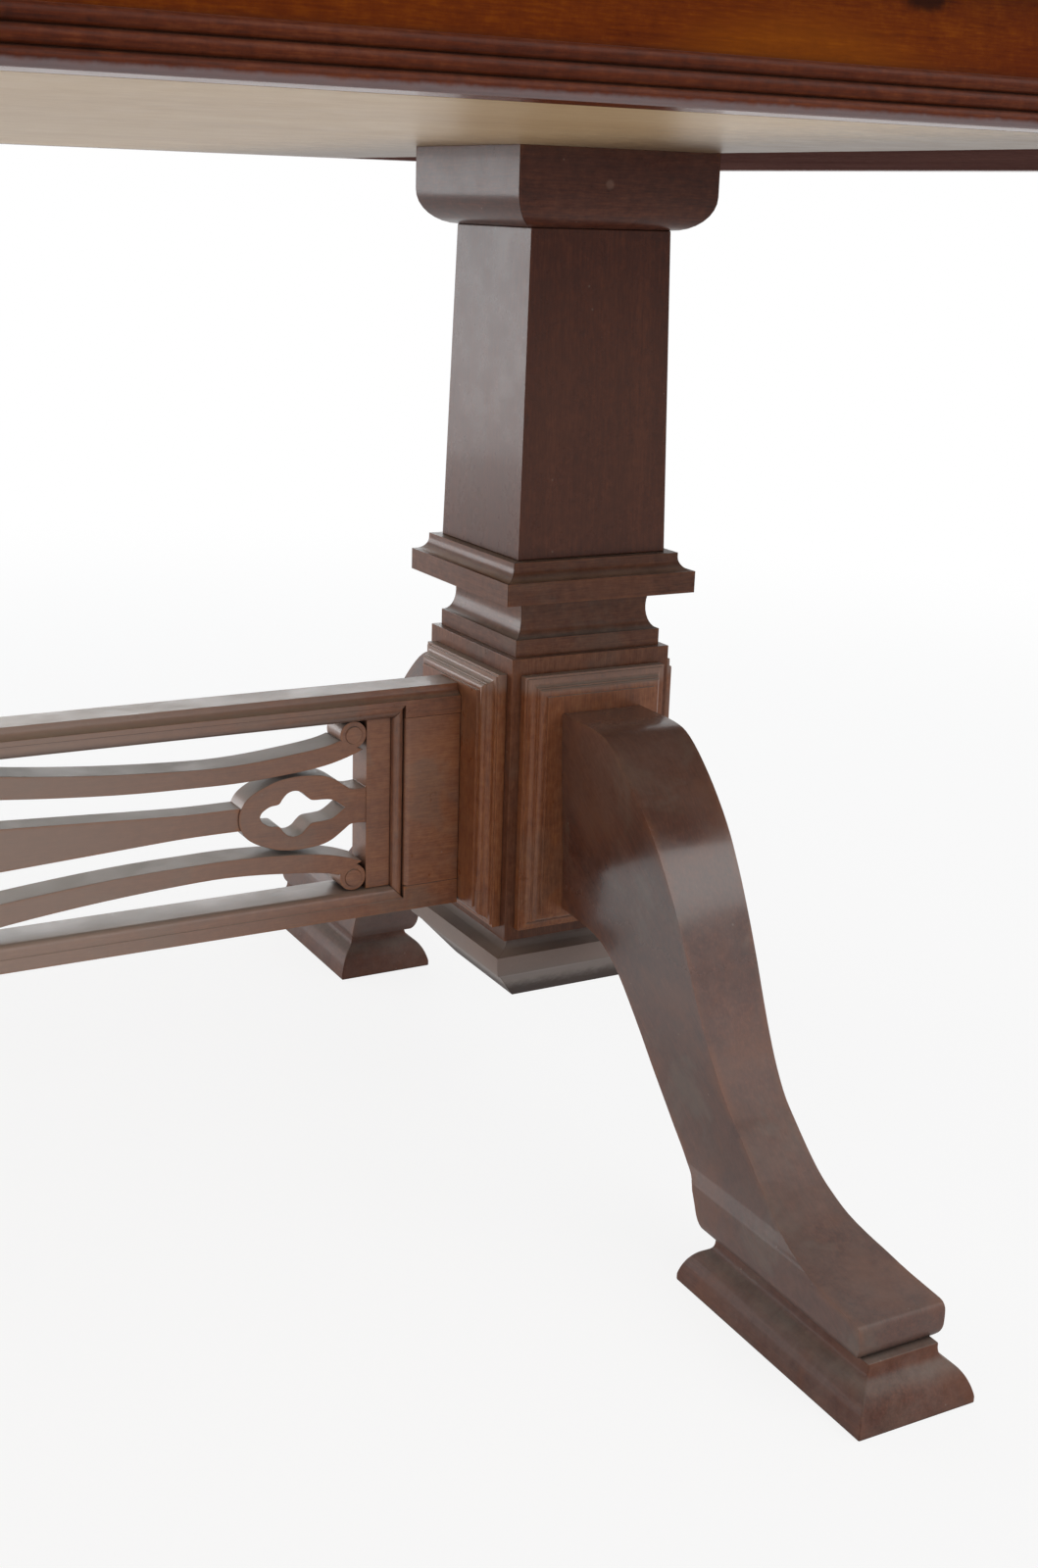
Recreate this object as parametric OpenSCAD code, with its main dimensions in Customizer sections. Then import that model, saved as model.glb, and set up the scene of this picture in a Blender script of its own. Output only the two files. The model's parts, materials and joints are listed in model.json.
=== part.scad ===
// Extending dining table on two square pedestals joined by a fretwork stretcher.
// The top is in two halves that slide apart on runners, geared together so that
// both move by the same amount, and a loose leaf is stored in the well under them.
// Frame: origin on the floor under the middle of the table, X along its length.

/* [Table top] */
// Length of the closed top from edge to edge
table_l = 2030; // [1900:5:2300]
// Width of the top from edge to edge
table_w = 1110; // [1040:5:1300]
// Height of the top's upper face above the floor
table_h = 762; // [735:1:800]
// Thickness of the top and of the leaf
top_t = 22; // [18:1:26]
// How far the top oversails the moulding below it
top_over = 10; // [4:1:20]
// Width of the moulded edge, which is also the radius of the top's corners
edge_w = 25; // [20:1:40]
// How far each half of the top slides out, half of the leaf's width
travel = 225; // [150:5:225]

/* [Aprons and underside] */
// Height of the aprons
apron_h = 50; // [48:1:60]
// Thickness of the aprons
apron_t = 24; // [18:1:30]
// Height of the reeded moulding along the foot of the aprons
reed_h = 19; // [15:1:24]
// How far the reeded moulding stands out
reed_t = 5; // [4:0.5:8]
// Thickness of the boards that close the underside
board_t = 8; // [6:1:10]
// How far the fixed board runs past each pedestal's axis
board_past = 66; // [60:1:90]
// Side of the square corner blocks
corner_block = 40; // [25:1:60]

/* [Pedestals] */
// Distance between the axes of the two pedestals
span = 1200; // [1100:10:1300]
// Width of the cap under the top
cap_w = 148; // [130:1:170]
// Height of the cap
cap_h = 49; // [40:1:60]
// Radius of the cap's rounded lower edges
cap_r = 22; // [10:1:24]
// Width of the tapered shaft where it meets the cap
shaft_top_w = 105; // [90:1:112]
// Width of the tapered shaft at its foot
shaft_foot_w = 114.5; // [100:0.5:120]
// Width of the plate of the collar
plate_w = 146.6; // [132:0.2:170]
// Thickness of the plate of the collar
plate_t = 14.8; // [10:0.2:20]
// Width of the fillet on top of the collar
collar_top_w = 128.4; // [122:0.2:130]
// Height of the cove and fillet above the plate
collar_top_h = 12; // [8:0.5:18]
// Width of the hollow under the plate at its narrowest
neck_w = 98.6; // [90:0.2:106]
// Width of the hollow where it meets the plate
neck_top_w = 106; // [100:0.2:112]
// Height of the hollow under the plate
neck_h = 27.5; // [20:0.5:36]
// Width of the fillet that sits on the block
seat_w = 113.4; // [108:0.2:120]
// Height of the fillet that sits on the block
seat_h = 11.6; // [6:0.2:16]
// Width of the square block that the legs spring from
block_w = 124; // [120:1:130]
// Height of the block
block_h = 202.4; // [196:0.2:230]
// Height of the block's underside above the floor
block_z = 160; // [150:1:165]
// Width of the moulding under the block
base_w = 145.4; // [134:0.2:160]
// Height of the moulding under the block
base_h = 50; // [40:1:60]
// Width of the flat underside of that moulding
base_foot_w = 90; // [70:1:110]

/* [Raised panels] */
// How far the panels stand out from the block
panel_t = 16; // [12:0.5:20]
// Plain margin of the block beside each panel
panel_side = 7; // [5:0.5:10]
// Plain margin of the block below each panel
panel_low = 9; // [6:0.5:14]
// Plain margin of the block above each panel
panel_high = 11.4; // [8:0.2:14]
// Width of the stepped moulding round each panel
panel_frame = 13.5; // [10:0.5:16]

/* [Legs and feet] */
// Reach of the leg from the pedestal's axis to the front of its toe
leg_reach = 435; // [400:5:480]
// Height of the top of the leg where it meets the panel
leg_top = 326; // [320:1:330]
// Greatest thickness of the leg
leg_w = 62; // [50:1:68]
// Height of the foot block, up to the underside of the toe
foot_h = 35; // [28:1:42]
// Width of the foot block
foot_w = 84; // [74:1:96]
// Length of the foot block
foot_l = 187; // [170:1:210]
// How far the foot block runs past the toe
foot_past = 20; // [16:1:26]
// How far the neck of the foot block stands in from its foot
foot_inset = 16.5; // [10:0.5:18]

/* [Stretcher] */
// Height of the stretcher's top face above the floor
stretcher_top = 337; // [330:1:339]
// Height of the stretcher's underside above the floor
stretcher_low = 177; // [172:1:186]
// Thickness of the stretcher's frame
stretcher_t = 38; // [32:1:44]
// Height of the top rail
top_rail_h = 20; // [16:1:24]
// Height of the bottom rail
low_rail_h = 18; // [16:1:22]
// Width of the end stiles
stile_w = 42; // [36:1:50]
// Width of the bead beside each stile
bead_w = 8; // [6:0.5:10]
// Thickness of the fretwork
fret_t = 24; // [18:1:28]
// Width of the fret's upright end strip
strip_w = 18; // [14:1:24]
// Length of the pierced end ring
ring_l = 92; // [80:1:110]
// Height of the pierced end ring
ring_h = 52; // [44:1:54]
// Radius of the scrolls at the ends of the curved bars
scroll_r = 9.6; // [7:0.2:9.8]
// Radius of the eye in each scroll
eye_r = 6; // [4:0.2:6.6]
// Length of the pierced tablet in the middle of the fret
tablet_l = 170; // [140:2:200]
// Height of the pierced tablet
tablet_h = 80; // [60:1:86]

/* [Slides] */
// Room between the stored leaf and the runners beside it
leaf_room = 35; // [10:5:60]
// Width of the bearers
bearer_w = 32; // [28:1:36]
// How far the bearers run past each pedestal's axis
bearer_past = 190; // [150:5:220]
// Thickness of the cross rails on the caps
cross_t = 16; // [12:1:18]
// Room between the cross rails' ends and the side aprons
cross_room = 16; // [4:1:40]
// Width of the runners
runner_w = 24; // [20:1:28]
// Length that a runner reaches over the middle when closed
runner_past = 260; // [255:1:300]
// Room between a runner's end and the end apron
runner_room = 76; // [40:2:120]
// Height of the groove in the bearers
groove_h = 6; // [5:0.5:8]
// Depth of the groove in the bearers
groove_d = 7; // [5:0.5:9]
// Running clearance between the sliding parts
slide_gap = 0.4; // [0.3:0.05:0.6]
// Tooth size of the pinion and racks, pitch diameter over teeth
gear_module = 2; // [1.9:0.05:2.1]
// Thickness of the pinion and racks
gear_t = 8; // [6:0.5:9]

/* [Leaf and locks] */
// Length of the lock's arm from its pivot to the peg
lock_l = 50; // [40:1:60]
// Distance of the arm's pivot from the joint between the halves
lock_x = 30; // [25:1:34]
// Width of the lock's arm
arm_w = 16; // [15:1:20]
// Thickness of the lock's arm
arm_t = 4; // [3:0.5:5]
// Diameter of the pegs that line up the halves and the leaf
dowel_d = 10; // [8:1:12]
// Length of those pegs
dowel_l = 30; // [24:2:36]

/* [Fasteners] */
// Diameter of the tie rod through each pedestal
rod_d = 12; // [10:1:16]
// Diameter of the bolts that hold the legs and the stretcher
bolt_d = 8; // [6:1:10]
// Height of the lower row of bolts
bolt_low = 215; // [210:1:225]
// Height of the upper row of bolts
bolt_high = 290; // [270:1:300]
// How far each bolt reaches into the block from its face
bolt_in = 22; // [18:1:30]
// How far each bolt reaches past the panel
bolt_out = 34; // [26:1:38]
// Diameter of the wood screws
screw_d = 5; // [4:0.5:6]

/* [Hidden] */
$fn = 48;

// Heights, from the floor up
base_z = block_z - base_h;
collar_z = block_z + block_h;
plate_z = collar_z + seat_h + neck_h;
shaft_z = plate_z + plate_t + collar_top_h;
under_z = table_h - top_t - apron_h;
cap_z = under_z - cap_h;
top_z = table_h - top_t;
cross_z = under_z + board_t;
bearer_z = cross_z + cross_t;
panel_low_z = block_z + panel_low;
panel_high_z = collar_z - panel_high;

// Plan sizes
panel_x = block_w / 2 + panel_t;
panel_half = block_w / 2 - panel_side;
apron_y = table_w / 2 - top_over - reed_t;
apron_x = table_l / 2 - top_over - reed_t;
apron_in_y = apron_y - apron_t;
apron_in_x = apron_x - apron_t;
board_end = span / 2 + board_past;
board_gap = 0.6;
board_side = 2;
leaf_w = 2 * travel;
bearer_y = leaf_w / 2 + leaf_room + runner_w + bearer_w / 2;
bearer_l = span + 2 * bearer_past;
cross_l = 2 * (apron_in_y - cross_room);
runner_out = apron_in_x - runner_room;
runner_side = bearer_y + bearer_w / 2 + runner_w;
// Each lock, with its arm turned in, stands midway between the runner and the apron
lock_plate_w = 30;
lock_y = (runner_side + apron_in_y + lock_l + arm_w / 2 - lock_plate_w / 2) / 2;

// Small sizes that several pieces share
cut = 1;
arc_steps = 8;
smooth_steps = 4;
bore_gap = 0.1;
seat_gap = 0.3;

// Points of a quarter of an ellipse that leaves a sideways and reaches b upwards
function across_then_up(a, b) = [for (i = [0:arc_steps])
    let (t = 90 * i / arc_steps)
    [a[0] + (b[0] - a[0]) * sin(t), a[1] + (b[1] - a[1]) * (1 - cos(t))]];

// Points of a quarter of an ellipse that leaves a upwards and reaches b sideways
function up_then_across(a, b) = [for (i = [0:arc_steps])
    let (t = 90 * i / arc_steps)
    [a[0] + (b[0] - a[0]) * (1 - cos(t)), a[1] + (b[1] - a[1]) * sin(t)]];

// A smooth open curve through points p, with the same end points
function smooth(p) = concat(
    [for (i = [0:len(p) - 2], j = [0:smooth_steps - 1])
        let (t = j / smooth_steps,
             p0 = p[max(i - 1, 0)], p1 = p[i], p2 = p[i + 1], p3 = p[min(i + 2, len(p) - 1)])
        (2 * p1 + (p2 - p0) * t + (2 * p0 - 5 * p1 + 4 * p2 - p3) * t * t
            + (3 * p1 - p0 - 3 * p2 + p3) * t * t * t) / 2],
    [p[len(p) - 1]]);

// The same curve without its first point, to follow another that ends there
function onward(p) = let (q = smooth(p)) [for (i = [1:len(q) - 1]) q[i]];

function reversed(p) = [for (i = [len(p) - 1:-1:0]) p[i]];
function mirrored(p) = concat(p, [for (q = reversed(p)) [-q[0], q[1]]]);

// A table of shares made a list of points: corner + share * size, each way
function placed(shares, corner, size) =
    [for (s = shares) [corner[0] + s[0] * size[0], corner[1] + s[1] * size[1]]];

// Outline points [half width, height] worked round a square, with mitred corners
module square_moulding(p) {
    wide = 2 * max([for (q = p) q[0]]) + cut;
    intersection() {
        rotate([90, 0, 0]) linear_extrude(height = wide, center = true) polygon(mirrored(p));
        rotate([90, 0, 90]) linear_extrude(height = wide, center = true) polygon(mirrored(p));
    }
}

// Puts a piece drawn for the right-hand end at either end of the table
module at_end(side) {
    if (side > 0) children();
    else mirror([1, 0, 0]) children();
}

module at_pedestal(side) {
    at_end(side) translate([span / 2, 0, 0]) children();
}

// A piece drawn for the back of the table, mirrored to the front
module both_sides() {
    children();
    mirror([0, 1, 0]) children();
}

module mahogany() { color([0.37, 0.23, 0.17]) children(); }
module figured() { color([0.45, 0.24, 0.1]) children(); }
module pale_wood() { color([0.72, 0.6, 0.44]) children(); }
module brass() { color([0.72, 0.56, 0.27]) children(); }
module steel() { color([0.6, 0.61, 0.63]) children(); }

// Tie rods, bolts and screws
nut_d = 1.8 * rod_d;
nut_h = 0.8 * rod_d;
washer_d = 2.3 * rod_d;
washer_t = 0.2 * rod_d;
rod_sink = nut_h + washer_t + 0.2 * rod_d;
screw_head_d = 2 * screw_d;
screw_head_h = 0.8 * screw_d;
screw_sink = 1;
cap_screw_in = 6 * screw_d;
cap_screw_at = cap_w / 2 - 6 * screw_d;
bearer_screw_in = 2 * screw_d;
runner_screw_in = 2.8 * screw_d;
runner_screw_shares = [0.07, 0.48, 0.9];
bolt_from = block_w / 2 - bolt_in;
bolt_to = panel_x + bolt_out;

// The bore of the tie rod, with a wider mouth where a nut and washer sit
module rod_bore() {
    translate([0, 0, base_z - cut]) cylinder(d = rod_d + 2 * bore_gap, h = under_z - base_z + 2 * cut);
    translate([0, 0, base_z - cut]) cylinder(d = washer_d + 2 * bore_gap, h = rod_sink + cut);
    translate([0, 0, under_z - rod_sink]) cylinder(d = washer_d + 2 * bore_gap, h = rod_sink + cut);
}

// Bolts along Y for the legs, one row above the other; grow widens them to a bore
module leg_bolt_pair(grow = 0) {
    for (z = [bolt_low, bolt_high]) translate([0, bolt_from - grow, z]) rotate([-90, 0, 0])
        cylinder(d = bolt_d + 2 * grow, h = bolt_to - bolt_from + 2 * grow);
}

// The same bolts on the side that faces the stretcher
module stretcher_bolt_pair(grow = 0) {
    rotate([0, 0, 90]) leg_bolt_pair(grow);
}

module pedestal_bolts(grow = 0) {
    both_sides() leg_bolt_pair(grow);
    stretcher_bolt_pair(grow);
}

// Screws from the cross rail down through the board into the cap
module cap_screw_places() {
    for (x = [-1, 1], y = [-1, 1]) translate([x * cap_screw_at, y * cap_screw_at, 0]) children();
}

// A screw standing head up, its top at height z and its point len lower
module screw(z, len) {
    translate([0, 0, z - len]) cylinder(d = screw_d, h = len);
    translate([0, 0, z - screw_head_h]) cylinder(d = screw_head_d, h = screw_head_h);
}

// The bore for it, its wide part open far enough upwards to sink the head
module screw_bore(z, len) {
    translate([0, 0, z - len - bore_gap]) cylinder(d = screw_d + 2 * bore_gap, h = len + bore_gap);
    translate([0, 0, z - screw_head_h - bore_gap])
        cylinder(d = screw_head_d + 2 * bore_gap, h = screw_head_h + screw_sink + cut);
}

module cap_screws() {
    cap_screw_places() screw(bearer_z, cross_t + board_t + cap_screw_in);
}

module cap_screw_bores() {
    cap_screw_places() screw_bore(bearer_z, cross_t + board_t + cap_screw_in);
}

module cap() {
    mahogany() difference() {
        square_moulding(concat(
            across_then_up([cap_w / 2 - cap_r, cap_z], [cap_w / 2, cap_z + cap_r]),
            [[cap_w / 2, under_z]]));
        rod_bore();
        cap_screw_bores();
    }
}

module shaft() {
    mahogany() difference() {
        square_moulding([[shaft_foot_w / 2, shaft_z], [shaft_top_w / 2, cap_z]]);
        rod_bore();
    }
}

// The narrowest point of the hollow lies this share of its height above its foot
neck_share = 0.55;
collar_fillet_share = 0.25;

module collar() {
    seat_top = collar_z + seat_h;
    neck_z = seat_top + neck_share * neck_h;
    plate_top = plate_z + plate_t;
    fillet_z = shaft_z - collar_fillet_share * collar_top_h;
    mahogany() difference() {
        square_moulding(concat(
            [[seat_w / 2, collar_z]],
            across_then_up([seat_w / 2, seat_top], [neck_w / 2, neck_z]),
            up_then_across([neck_w / 2, neck_z], [neck_top_w / 2, plate_z]),
            [[plate_w / 2, plate_z], [plate_w / 2, plate_top]],
            across_then_up([plate_w / 2 - bore_gap, plate_top], [collar_top_w / 2, fillet_z]),
            [[collar_top_w / 2, shaft_z]]));
        rod_bore();
    }
}

module block() {
    mahogany() difference() {
        translate([-block_w / 2, -block_w / 2, block_z]) cube([block_w, block_w, block_h]);
        rod_bore();
        pedestal_bolts(bore_gap);
    }
}

// Steps of the panel's moulding: [share of the frame's width, share of the panel's thickness]
panel_step_shares = [[0, 0], [0, 0.4], [0.12, 0.4], [0.12, 0.47]];
panel_cove_shares = [[0.22, 0.47], [0.52, 0.72]];
panel_round_shares = [[0.57, 0.76], [0.87, 0.92]];
panel_field_shares = [[0.93, 0.92], [0.93, 1], [1, 1]];

// One raised panel on the +Y face, its moulding mitred at the corners
module raised_panel() {
    frame = [panel_frame, panel_t];
    cove_ends = placed(panel_cove_shares, [0, 0], frame);
    round_ends = placed(panel_round_shares, [0, 0], frame);
    steps = concat(placed(panel_step_shares, [0, 0], frame),
        across_then_up(cove_ends[0], cove_ends[1]), [[round_ends[0][0], cove_ends[1][1]]],
        up_then_across(round_ends[0], round_ends[1]),
        placed(panel_field_shares, [0, 0], frame));
    middle = (panel_low_z + panel_high_z) / 2;
    half_h = (panel_high_z - panel_low_z) / 2;
    across = [for (s = steps) [panel_half - s[0], s[1]]];
    upright = [for (s = steps) [half_h - s[0], s[1]]];
    translate([0, block_w / 2, middle]) intersection() {
        translate([0, 0, -half_h]) linear_extrude(height = 2 * half_h) polygon(mirrored(across));
        rotate([90, 0, 90]) linear_extrude(height = 2 * panel_half, center = true)
            polygon([for (q = mirrored(upright)) [q[1], q[0]]]);
    }
}

module raised_panels() {
    mahogany() difference() {
        for (a = [0:90:270]) rotate([0, 0, a]) raised_panel();
        pedestal_bolts(bore_gap);
    }
}

// Heights in the moulding under the block, as shares of its height
base_chamfer_share = 0.5;
base_lip_share = 0.54;
base_face_share = 0.8;
base_edge_share = 0.85;
base_neck_share = 0.96;
base_neck_in = 4;
base_slope_in = 6;
base_face_in = 3.5;

module base_moulding() {
    edge = base_w / 2;
    neck = block_w / 2 - base_neck_in;
    mahogany() difference() {
        square_moulding(concat(
            [[base_foot_w / 2, base_z], [edge - base_slope_in, base_z + base_chamfer_share * base_h],
             [edge - base_face_in, base_z + base_lip_share * base_h]],
            across_then_up([edge - base_face_in, base_z + base_lip_share * base_h],
                [edge, base_z + base_face_share * base_h]),
            [[edge, base_z + base_edge_share * base_h]],
            across_then_up([edge - bore_gap, base_z + base_edge_share * base_h],
                [neck, base_z + base_neck_share * base_h]),
            [[neck, block_z]]));
        rod_bore();
    }
}

// Legs and feet: side view from the panel to the toe, [share of reach, share of height]
leg_upper_shares = [[0, 1], [0.118, 0.998], [0.176, 0.979], [0.246, 0.914], [0.319, 0.825],
    [0.370, 0.739], [0.412, 0.653], [0.448, 0.567], [0.482, 0.481], [0.521, 0.395],
    [0.571, 0.309], [0.616, 0.258], [0.681, 0.189], [0.723, 0.155], [0.779, 0.120],
    [0.885, 0.089], [0.985, 0.0785]];
leg_toe_shares = [[0.985, 0.0785], [0.993, 0.0755], [0.998, 0.0685], [1, 0.058], [1, 0.032],
    [0.998, 0.018], [0.994, 0.008], [0.988, 0]];
leg_lower_shares = [[0.553, 0], [0.538, 0.032], [0.527, 0.065], [0.51, 0.101], [0.469, 0.131],
    [0.409, 0.181], [0.34, 0.26], [0.28, 0.346], [0.213, 0.44], [0.151, 0.491],
    [0.09, 0.508], [0, 0.514]];
// Front view of the leg, [share of the half thickness, share of height], from the top down
leg_front_shares = [[1, 1], [0.98, 0.911], [0.935, 0.825], [0.9, 0.756], [0.854, 0.653],
    [0.816, 0.519], [0.768, 0.42], [0.728, 0.36], [0.7, 0.3], [0.69, 0.25], [0.698, 0.21],
    [0.722, 0.178], [0.765, 0.15], [0.828, 0.127], [0.9, 0.109], [0.965, 0.096], [1, 0.082]];
leg_sole_shares = [[1, 0.082], [1, 0.034], [0.985, 0.018], [0.945, 0.007], [0.88, 0]];

// The leg on the +Y side of a pedestal, its thickness swelling at both ends
module leg() {
    corner = [panel_x, foot_h];
    size = [leg_reach - panel_x, leg_top - foot_h];
    half = [leg_w / 2, size[1]];
    side = concat(smooth(placed(leg_upper_shares, corner, size)),
        onward(placed(leg_toe_shares, corner, size)), smooth(placed(leg_lower_shares, corner, size)));
    front = concat(smooth(placed(leg_front_shares, [0, foot_h], half)),
        onward(placed(leg_sole_shares, [0, foot_h], half)));
    mahogany() difference() {
        intersection() {
            rotate([90, 0, 90]) linear_extrude(height = leg_w + cut, center = true) polygon(side);
            translate([0, leg_reach + cut, 0]) rotate([90, 0, 0])
                linear_extrude(height = leg_reach + cut) polygon(mirrored(front));
        }
        leg_bolt_pair(bore_gap);
    }
}

// Profile of the foot block, [share of its inset, share of its height]: a long ovolo that
// turns into the hollow under the toe
foot_edge_shares = [[0, 0.115], [0.03, 0.18], [0.11, 0.3], [0.24, 0.44], [0.4, 0.555], [0.56, 0.635],
    [0.72, 0.69], [0.86, 0.74], [0.96, 0.81], [1, 0.9], [1, 1]];

module foot() {
    size = [-foot_inset, foot_h];
    function foot_points(half) = concat([[half, 0]], smooth(placed(foot_edge_shares, [half, 0], size)));
    translate([0, leg_reach + foot_past - foot_l / 2, 0]) intersection() {
        rotate([90, 0, 0]) linear_extrude(height = foot_l + cut, center = true)
            polygon(mirrored(foot_points(foot_w / 2)));
        rotate([90, 0, 90]) linear_extrude(height = foot_w + cut, center = true)
            polygon(mirrored(foot_points(foot_l / 2)));
    }
}

module feet() {
    mahogany() both_sides() foot();
}

// Tie rods with a nut and washer at both ends, sunk in the cap and the base moulding
module tie_rods() {
    low = base_z + rod_sink;
    high = under_z - rod_sink;
    steel() for (side = [-1, 1]) at_pedestal(side) {
        translate([0, 0, low - nut_h - washer_t]) cylinder(d = rod_d, h = high - low + 2 * (nut_h + washer_t));
        translate([0, 0, low - washer_t]) cylinder(d = washer_d, h = washer_t);
        translate([0, 0, low - washer_t - nut_h]) cylinder(d = nut_d, h = nut_h, $fn = 6);
        translate([0, 0, high]) cylinder(d = washer_d, h = washer_t);
        translate([0, 0, high + washer_t]) cylinder(d = nut_d, h = nut_h, $fn = 6);
    }
}

module frame_bolts() {
    steel() for (side = [-1, 1]) at_pedestal(side) pedestal_bolts();
}

// Stretcher: a frame of two rails and two stiles with fretwork inside
stretcher_end = span / 2 - panel_x;
bead_x = stretcher_end - stile_w;
fret_end = bead_x - bead_w;
strip_x = fret_end - strip_w;
open_low = stretcher_low + low_rail_h;
open_high = stretcher_top - top_rail_h;
open_z = (open_low + open_high) / 2;
open_half = (open_high - open_low) / 2;
rail_hollow_w = 6;
rail_hollow_h = 7.5;
rail_round_w = 6;
rail_round_h = 8;
rail_step = 0.8;
mitre_h = rail_round_h + rail_step;

// Half section of the moulding along an opening: from the flat face, past a step and over an
// ovolo to z = high, or turned over, from z = low
function ovolo_up(high) = let (half = stretcher_t / 2) concat(
    [[half, high - mitre_h], [half - rail_step, high - mitre_h]],
    up_then_across([half - rail_step, high - rail_round_h], [half - rail_round_w, high]));
function ovolo_down(low) = [for (q = reversed(ovolo_up(0))) [q[0], low - q[1]]];

// A stretch of rail between two places along X
module rail_length(section, from, to) {
    rotate([90, 0, 90]) translate([0, 0, from]) linear_extrude(height = to - from)
        polygon(mirrored(section));
}

// The room for the upright beads, whose ends mitre with the rails' mouldings
module bead_room(grow = 0) {
    for (side = [-1, 1]) at_end(side) rotate([90, 0, 0])
        linear_extrude(height = stretcher_t + cut, center = true)
            polygon([[fret_end, open_low], [fret_end, open_high], [bead_x, open_high + mitre_h],
                [bead_x + grow, open_high + mitre_h], [bead_x + grow, open_low - mitre_h],
                [bead_x, open_low - mitre_h]]);
}

// The top rail, its upper edges hollowed, runs over the stiles
module stretcher_top_rail() {
    half = stretcher_t / 2;
    hollow = across_then_up([half, stretcher_top - rail_hollow_h], [half - rail_hollow_w, stretcher_top]);
    mahogany() {
        difference() {
            rail_length(concat(ovolo_down(open_high), hollow), -bead_x, bead_x);
            bead_room(cut);
        }
        for (side = [-1, 1]) at_end(side)
            rail_length(concat([[half, open_high]], hollow), bead_x, stretcher_end);
    }
}

// The stiles stand on the bottom rail's square ends
module stretcher_bottom_rail() {
    half = stretcher_t / 2;
    mahogany() {
        difference() {
            rail_length(concat([[half, stretcher_low]], ovolo_up(open_low)), -bead_x, bead_x);
            bead_room(cut);
        }
        for (side = [-1, 1]) at_end(side) translate([bead_x, -half, stretcher_low])
            cube([stile_w, stretcher_t, low_rail_h]);
    }
}

stile_round = 4;

// Stiles, rounded along their inner edges beside the beads
module stretcher_stiles() {
    half = stretcher_t / 2;
    edge = concat(up_then_across([0, half - stile_round], [stile_round, half]), [[stile_w, half]]);
    mahogany() for (side = [-1, 1]) at_end(side) difference() {
        translate([bead_x, 0, open_low]) linear_extrude(height = open_high - open_low)
            polygon(concat(edge, [for (q = reversed(edge)) [q[0], -q[1]]]));
        translate([span / 2, 0, 0]) stretcher_bolt_pair(bore_gap);
    }
}

bead_core_share = 0.7;

// Upright beads that cover the joint between the stiles and the fret
module stretcher_beads() {
    bead_core = stretcher_t / 2 - bead_core_share * bead_w;
    mahogany() intersection() {
        for (side = [-1, 1]) at_end(side) translate([fret_end, 0, open_low - mitre_h])
            linear_extrude(height = open_high - open_low + 2 * mitre_h) {
                translate([0, -bead_core]) square([bead_w, 2 * bead_core]);
                for (y = [-1, 1]) translate([bead_w / 2, y * bead_core]) circle(d = bead_w);
            }
        bead_room();
    }
}

// The ring's outer edge from the strip to its tip, [share of length, share of half height]
ring_edge_shares = [[0, 0.49], [0.11, 0.48], [0.17, 0.61], [0.26, 0.83], [0.35, 0.95],
    [0.48, 1], [0.59, 1], [0.7, 0.94], [0.78, 0.84], [0.87, 0.7], [0.945, 0.5], [0.99, 0.22], [1, 0]];
// The pierced hole, pointed towards the strip and round at the other end
ring_hole_shares = [[0.163, 0], [0.26, 0.24], [0.337, 0.29], [0.424, 0.31], [0.467, 0.41],
    [0.51, 0.56], [0.565, 0.62], [0.62, 0.57], [0.66, 0.43], [0.69, 0.3], [0.76, 0.26],
    [0.82, 0.13], [0.837, 0]];

// Both halves of a shape that is alike above and below the middle of the fret
function shut(p) = concat(p, [for (q = reversed(p)) if (q[1] > 0) [q[0], -q[1]]]);

module ring_outline() {
    polygon(shut(smooth(placed(ring_edge_shares, [0, 0], [ring_l, ring_h / 2]))));
}

// Stands flat work drawn in X and Z upright, t thick, at the fret's middle height
module upright_work(t) {
    translate([0, t / 2, open_z]) rotate([90, 0, 0]) linear_extrude(height = t) children();
}

// Drawn work whose X runs from the end strip towards the middle of the table
module from_strip() {
    translate([strip_x, 0]) mirror([1, 0]) children();
}

fret_step = 1.5;

module fret_ends() {
    mahogany() for (side = [-1, 1]) at_end(side) {
        upright_work(fret_t) translate([strip_x, -open_half]) square([strip_w, 2 * open_half]);
        upright_work(fret_t - 2 * fret_step) from_strip() difference() {
            ring_outline();
            polygon(shut(smooth(placed(ring_hole_shares, [0, 0], [ring_l, ring_h / 2]))));
        }
    }
}

// Lower and upper edges of a curved bar, [share of the way to the middle, share of half height]
bar_under_shares = [[0.006, 0.66], [0.033, 0.585], [0.068, 0.52], [0.115, 0.476], [0.192, 0.438],
    [0.267, 0.438], [0.39, 0.465], [0.548, 0.56], [0.703, 0.71], [0.824, 0.86], [0.93, 1.04]];
bar_over_shares = [[0.044, 0.79], [0.068, 0.742], [0.115, 0.695], [0.192, 0.645], [0.267, 0.64],
    [0.405, 0.7], [0.546, 0.81], [0.66, 0.95], [0.73, 1.04]];
scroll_gap = 0.2;

// One curved bar above the ring, with a scroll where it meets the strip and the rail
module curved_bar() {
    size = [strip_x, open_half];
    scroll_at = [scroll_r + scroll_gap, open_half - scroll_r - scroll_gap];
    upright_work(fret_t) from_strip() {
        intersection() {
            polygon(concat(smooth(placed(bar_under_shares, [0, 0], size)),
                reversed(smooth(placed(bar_over_shares, [0, 0], size)))));
            square([strip_x, open_half]);
        }
        translate(scroll_at) circle(r = scroll_r);
    }
    upright_work(fret_t + 2 * fret_step) from_strip() translate(scroll_at) circle(r = eye_r);
}

module fret_upper_bars() {
    mahogany() for (side = [-1, 1]) at_end(side) curved_bar();
}

module fret_lower_bars() {
    mahogany() for (side = [-1, 1]) at_end(side)
        translate([0, 0, 2 * open_z]) mirror([0, 0, 1]) curved_bar();
}

// Half height of the middle bar from the ring to the tablet, as shares
middle_bar_shares = [[0.15, 0.131], [0.267, 0.131], [0.35, 0.155], [0.412, 0.18], [0.553, 0.235],
    [0.7, 0.3], [1, 0.4]];

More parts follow.
